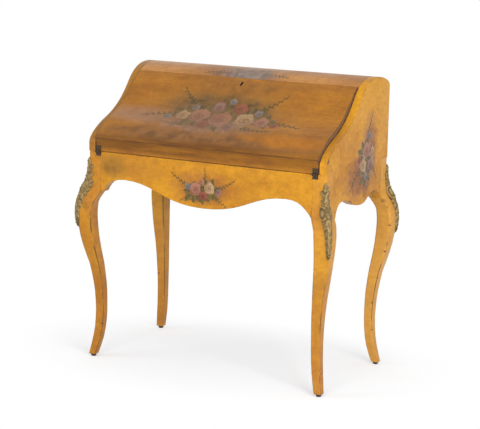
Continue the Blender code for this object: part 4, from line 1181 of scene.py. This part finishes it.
# Each leaf: where it springs from and where its tip is, as drop from the top and distance across,
# then its width and how high it stands out of the ground of the mount.
MOUNT_LEAVES = (
    ((0.028, 0.000), (0.001, 0.000), 0.0170, 0.9),
    ((0.046, -0.002), (0.026, -0.0190), 0.0130, 1.0),
    ((0.046, 0.002), (0.027, 0.0175), 0.0130, 1.0),
    ((0.052, 0.000), (0.026, 0.003), 0.0085, 1.0),
    ((0.072, -0.003), (0.054, -0.0195), 0.0100, 0.9),
    ((0.070, 0.003), (0.052, 0.0160), 0.0115, 0.95),
    ((0.074, 0.001), (0.048, -0.001), 0.0095, 0.9),
    ((0.098, 0.006), (0.072, 0.0190), 0.0110, 1.0),
    ((0.104, 0.008), (0.084, 0.0245), 0.0095, 0.95),
    ((0.112, 0.008), (0.100, 0.0250), 0.0090, 1.0),
    ((0.100, 0.004), (0.078, 0.0070), 0.0080, 0.9),
    ((0.116, 0.006), (0.118, 0.0215), 0.0090, 0.95),
    ((0.114, -0.006), (0.128, -0.0200), 0.0100, 1.0),
    ((0.118, 0.001), (0.140, 0.0165), 0.0105, 1.0),
    ((0.120, -0.001), (0.144, -0.0160), 0.0105, 1.0),
    ((0.112, 0.000), (0.146, 0.000), 0.0110, 1.0),
    ((0.138, 0.001), (0.160, 0.0146), 0.0095, 0.95),
    ((0.140, -0.001), (0.164, -0.0140), 0.0095, 0.95),
    ((0.138, 0.000), (0.168, 0.000), 0.0095, 0.95),
    ((0.158, 0.001), (0.178, 0.0122), 0.0085, 0.9),
    ((0.160, -0.001), (0.182, -0.0118), 0.0085, 0.9),
    ((0.160, 0.000), (0.188, 0.000), 0.0085, 0.9),
    ((0.178, 0.000), (0.198, 0.0100), 0.0075, 0.85),
    ((0.179, 0.000), (0.201, -0.0095), 0.0075, 0.85),
    ((0.182, 0.000), (0.207, 0.000), 0.0075, 0.9),
    ((0.200, 0.000), (0.229, 0.000), 0.0085, 0.8),
)
BOSS_PLACE = (0.0925, -0.0105)
BOSS_HALF = (0.0118, 0.0070)
# The scroll about the boss: its half height and half width, its thickness and where it is open.
SCROLL_HALF, SCROLL_THICK, SCROLL_OPEN = (0.0195, 0.0125), 0.0052, math.radians(50)
# The mount's pins: drop and distance across, and the radius of their heads.
MOUNT_PINS, PIN_HEAD = ((0.013, 0.0), (0.0635, 0.0), (0.213, 0.0)), 0.0018


def dome(reach):
    """The height of a round dome at a share of its radius from the middle."""
    return np.sqrt(np.clip(1 - reach**2, 0, 1))


def leaf_relief(down, across, root, tip, width, height):
    """How high one cast leaf stands: a hollow midrib, veins and a notched edge."""
    axis = np.subtract(tip, root)
    length = np.hypot(*axis)
    along = ((down - root[0]) * axis[0] + (across - root[1]) * axis[1]) / length**2
    aside = np.abs((down - root[0]) * axis[1] - (across - root[1]) * axis[0]) / length
    inside = np.clip(along, 0.0, 1.0)
    swell = np.sin(np.pi * inside**0.85) ** 0.7
    notched = 1 + 0.17 * np.sin(2 * np.pi * 3.5 * inside)
    half = np.maximum(width / 2 * swell * notched, 1e-6)
    share = np.clip(aside / half, 0, 1)
    rise = height * (0.45 + 0.55 * inside) * dome(share)
    rib = 0.30 * np.exp(-((aside / 0.0008) ** 2))
    veins = 0.12 * np.sin(2 * np.pi * (6.5 * inside - 0.9 * share)) * share
    return np.where((along > 0) & (along < 1) & (aside < half), rise - rib + veins, 0.0)


def boss_relief(down, across):
    """How high the oval boss and the scroll about it stand, and where the leaves are cleared for them."""
    off = down - BOSS_PLACE[0], across - BOSS_PLACE[1]
    from_boss = np.hypot(off[0] / BOSS_HALF[0], off[1] / BOSS_HALF[1])
    curl = off[0] / SCROLL_HALF[0], off[1] / SCROLL_HALF[1]
    aside = (np.hypot(*curl) - 1) * np.mean(SCROLL_HALF) / (SCROLL_THICK / 2)
    scroll = np.where(np.abs(np.arctan2(*curl)) > SCROLL_OPEN, dome(aside), 0.0)
    return np.maximum(1.15 * dome(from_boss), scroll), from_boss < 1.35


def chased_relief(down, across):
    """How high the leaves, the boss and the pins stand at each place."""
    chased = np.zeros_like(down)
    for leaf in MOUNT_LEAVES:
        chased = np.maximum(chased, leaf_relief(down, across, *leaf))
    boss, cleared = boss_relief(down, across)
    chased = np.maximum(np.where(cleared, 0.0, chased), boss)
    for pin in MOUNT_PINS:
        head = np.hypot(down - pin[0], across - pin[1]) / PIN_HEAD
        chased = np.maximum(chased, np.where(head < 1, 0.8 + 0.5 * dome(head), 0.0))
    return chased


def softened(grid, passes):
    """Values on a grid, blurred by passes over each way of it."""
    grid = grid.copy()
    for _ in range(passes):
        grid[:, 1:-1] = (grid[:, :-2] + 2 * grid[:, 1:-1] + grid[:, 2:]) / 4
        grid[1:-1] = (grid[:-2] + 2 * grid[1:-1] + grid[2:]) / 4
    return grid


def corner_skin(corner, heights, offsets):
    """Points on a leg's outer corner: a row for each height, at distances round it from the arris."""
    solid = BVHTree.FromObject(legs[corner], bpy.context.evaluated_depsgraph_get())
    hand = Vector((1 if "right" in corner else -1, 1 if "back" in corner else -1, 0))
    facing = math.atan2(hand.y, hand.x)
    rows = []
    for height in heights:
        start = Vector((CASE_HALF[0] * hand.x, CASE_HALF[1] * hand.y, height)) - hand * SKIN_CORE
        line = []
        for k in range(SKIN_RAYS):
            angle = facing + SKIN_SWEEP * (2 * k / (SKIN_RAYS - 1) - 1)
            way = Vector((math.cos(angle), math.sin(angle), 0))
            line.append(solid.ray_cast(start + way * SKIN_REACH, -way)[0])
        line = np.array(line)
        steps = np.hypot(*np.diff(line[:, :2], axis=0).T)
        length = np.concatenate(([0.0], np.cumsum(steps)))
        length -= length[SKIN_RAYS // 2]
        rows.append(np.stack([np.interp(offsets, length, line[:, axis]) for axis in range(3)], axis=1))
    return np.array(rows)


def swell_over(node, skin, normal):
    """How far a frame mount stands out of the skin of its leg at each place."""
    solid = BVHTree.FromObject(frame["nodes"][node], bpy.context.evaluated_depsgraph_get())
    swell = np.full(skin.shape[:2], MOUNT_EDGE)
    for place in np.ndindex(*swell.shape):
        way = Vector(normal[place])
        met = solid.ray_cast(Vector(skin[place]) + way * MOUNT_REACH, -way, MOUNT_REACH)[3]
        if met is not None:
            swell[place] = max(MOUNT_REACH - met, MOUNT_EDGE)
    return swell


def closed_shell(name, top, back, kept):
    """A mesh of the kept part of two grids of points, joined round its border."""
    cells = kept[:-1, :-1] & kept[1:, :-1] & kept[:-1, 1:] & kept[1:, 1:]
    columns = top.shape[1]
    layer = top.shape[0] * columns
    faces = []
    border = set()
    for row, column in zip(*np.nonzero(cells)):
        ring = [row * columns + column, row * columns + column + 1]
        ring += [ring[1] + columns, ring[0] + columns]
        faces.append(tuple(ring))
        faces.append(tuple(layer + k for k in reversed(ring)))
        for a, b in zip(ring, ring[1:] + ring[:1]):
            if (b, a) in border:
                border.remove((b, a))
            else:
                border.add((a, b))
    faces += [(b, a, layer + a, layer + b) for a, b in sorted(border)]
    mesh = bpy.data.meshes.new(name)
    mesh.from_pydata(np.concatenate((top.reshape(-1, 3), back.reshape(-1, 3))).tolist(), [], faces)
    return mesh


def drop_loose_points(mesh):
    """Leaves out the points of the grid that no face uses, and turns the faces outward."""
    shape = bmesh.new()
    shape.from_mesh(mesh)
    bmesh.ops.delete(shape, geom=[point for point in shape.verts if not point.link_faces], context="VERTS")
    bmesh.ops.recalc_face_normals(shape, faces=shape.faces)
    shape.to_mesh(mesh)
    shape.free()
    mesh.shade_smooth()


def cast_mount(corner):
    """One mount, laid over its leg's corner and closed behind, with how far each point is raised."""
    drops, halves = np.array(MOUNT_OUTLINE).T
    reach = halves.max() + MOUNT_MARGIN
    downs = np.arange(0.0, drops[-1], MOUNT_STEP)
    acrosses = np.arange(-reach, reach, MOUNT_STEP)
    skin = corner_skin(corner, MOUNT_TOP - downs, acrosses)
    normal = softened(np.cross(np.gradient(skin, axis=1), np.gradient(skin, axis=0)), NORMAL_PASSES)
    normal /= np.linalg.norm(normal, axis=2, keepdims=True)
    middle = len(acrosses) // 2
    if normal[0, middle] @ np.array((*skin[0, middle, :2], 0.0)) < 0:
        normal = -normal
    down, across = np.meshgrid(downs, acrosses, indexing="ij")
    across = across / (BACK_MOUNT_WIDTH if "back" in corner else 1)
    half = np.interp(down, drops, halves)
    inset = half - np.abs(across)
    ground = GROUND_SHARE * softened(swell_over(corner + "_knee_mount", skin, normal), GROUND_PASSES)
    ground += np.interp(down, *np.array(MOUNT_BULGE).T) * np.clip(1 - (across / half) ** 2, 0, 1)
    chased = chased_relief(down, across)
    relief = np.clip(inset / MOUNT_RIM, RIM_SHARE, 1.0) * (ground + CHASED_HEIGHT * chased)
    top, back = skin + normal * relief[:, :, None], skin + normal * MOUNT_BACK
    mesh = closed_shell(corner + "_cast_mount", top, back, inset >= 0)
    raised = 0.5 + 1.1 * (chased - softened(chased, CHASED_PASSES))
    raised -= np.interp(down, TIP_DARK, (0.0, 0.5))
    height = mesh.attributes.new("raised", "FLOAT", "POINT")
    height.data.foreach_set("value", np.concatenate((raised.ravel(), np.zeros(raised.size))).clip(0, 1))
    drop_loose_points(mesh)
    return mesh


def raised_parts(place):
    return put(place.tree, "Attribute", attribute_name="raised")["Fac"]


bronze = old_metal("gilt_bronze", BRONZE_BRIGHT, BRONZE_DULL, 130, 0.25, raised_parts, matt=0.2)
for corner in CORNERS:
    mesh = cast_mount(corner)
    mesh.materials.append(bronze)
    new_piece(mesh, "carcase", corner + "_knee_mount")


# Glides
# A round iron nail driven up into each foot, which keeps the end grain off the floor.
# Its domed head stands out as far as the foot is trimmed.

GLIDE_SEAT = 0.0045


def tall_head(points):
    return points * (1, 1, FOOT_BOTTOM / GLIDE_SEAT)


for corner in CORNERS:
    finish(reshaped(corner + "_glide", tall_head), dark_iron, METAL_EDGE)


# Studio
# A white sweep of floor that shows a soft shadow near the desk and glows evenly further off.
# Soft light comes from the front and the sides, and the camera is the photograph's.

FLOOR_SIZE = 60
FLOOR_WHITE = (0.880, 0.896, 0.912, 1)
FLOOR_BOUNCE = (0.52, 0.52, 0.52, 1)
FLOOR_GLOW = 0.285
SHADOW_MIDDLE = (0.06, -0.06, 0.0)
SHADOW_SHAPE = (1.0, 1.6, 1.0)
SHADOW_FROM, SHADOW_TO = 0.42, 0.95
SKY_STRENGTH = 0.50
PHOTO_WIDTH = 480
FOCAL_PIXELS = 1587.45
SENSOR = 36
CAMERA_PLACE = (2.45101, -4.39877, 1.47009)
CAMERA_RIGHT = (0.87266, 0.48798, 0.01833)
CAMERA_UP = (-0.10931, 0.15863, 0.98127)
CAMERA_BACK = (0.47593, -0.85832, 0.19177)
# Each soft box: its place, its width and its power in watts.
SOFT_BOXES = (((3.6, -2.6, 1.5), 2.2, 125), ((0.6, -4.4, 1.5), 2.2, 65), ((-3.2, -2.2, 1.8), 2.0, 25))
AIM = Vector((0, 0, 0.55))


def in_view(tree):
    """1 for what the eye, a reflection or glass shows, and 0 for what only lights the object."""
    path = put(tree, "LightPath")
    seen = reckon("MAXIMUM", path["Is Camera Ray"], path["Is Glossy Ray"])
    return reckon("MAXIMUM", seen, path["Is Transmission Ray"])


bpy.ops.mesh.primitive_plane_add(size=FLOOR_SIZE)
floor = bpy.context.object
floor.name = "floor"
floor_material = bpy.data.materials.new("white_floor")
floor_material.use_nodes = True
tree = floor_material.node_tree
tree.nodes.remove(tree.nodes["Principled BSDF"])
seen = in_view(tree)
matt = put(tree, "BsdfDiffuse", {"Color": mixed(seen, FLOOR_BOUNCE, FLOOR_WHITE)})[0]
glow = put(tree, "Emission", {"Strength": seen * FLOOR_GLOW})[0]
near = put(tree, "AddShader", {0: matt, 1: glow})[0]
far = put(tree, "Emission", {"Strength": ease(seen, 0, 1, SKY_STRENGTH, 1.0)})[0]
away = measure("LENGTH", (put(tree, "TexCoord")["Object"] - SHADOW_MIDDLE) * SHADOW_SHAPE)
sweep = put(tree, "MixShader", {0: ease(away, SHADOW_FROM, SHADOW_TO), 1: near, 2: far})[0]
feed(tree.nodes["Material Output"], {"Surface": sweep})
floor.data.materials.append(floor_material)

world = bpy.data.worlds.new("white_room")
bpy.context.scene.world = world
world.use_nodes = True
brightness = ease(in_view(world.node_tree), 0, 1, SKY_STRENGTH, 1.0)
feed(world.node_tree.nodes["Background"], {"Color": (1, 1, 1, 1), "Strength": brightness})

for number, (place, width, power) in enumerate(SOFT_BOXES, 1):
    lamp = bpy.data.lights.new(f"soft_box_{number}", "AREA")
    lamp.shape = "SQUARE"
    lamp.size = width
    lamp.energy = power
    box = bpy.data.objects.new(lamp.name, lamp)
    bpy.context.scene.collection.objects.link(box)
    box.location = place
    box.rotation_euler = (AIM - Vector(place)).to_track_quat("-Z", "Y").to_euler()

lens = bpy.data.cameras.new("photo_camera")
lens.sensor_fit = "HORIZONTAL"
lens.sensor_width = SENSOR
lens.lens = SENSOR * FOCAL_PIXELS / PHOTO_WIDTH
camera = bpy.data.objects.new("photo_camera", lens)
bpy.context.scene.collection.objects.link(camera)
turn = Matrix((CAMERA_RIGHT, CAMERA_UP, CAMERA_BACK)).transposed().to_4x4()
camera.matrix_world = Matrix.Translation(CAMERA_PLACE) @ turn
bpy.context.scene.camera = camera
bpy.context.scene.view_settings.view_transform = "Standard"
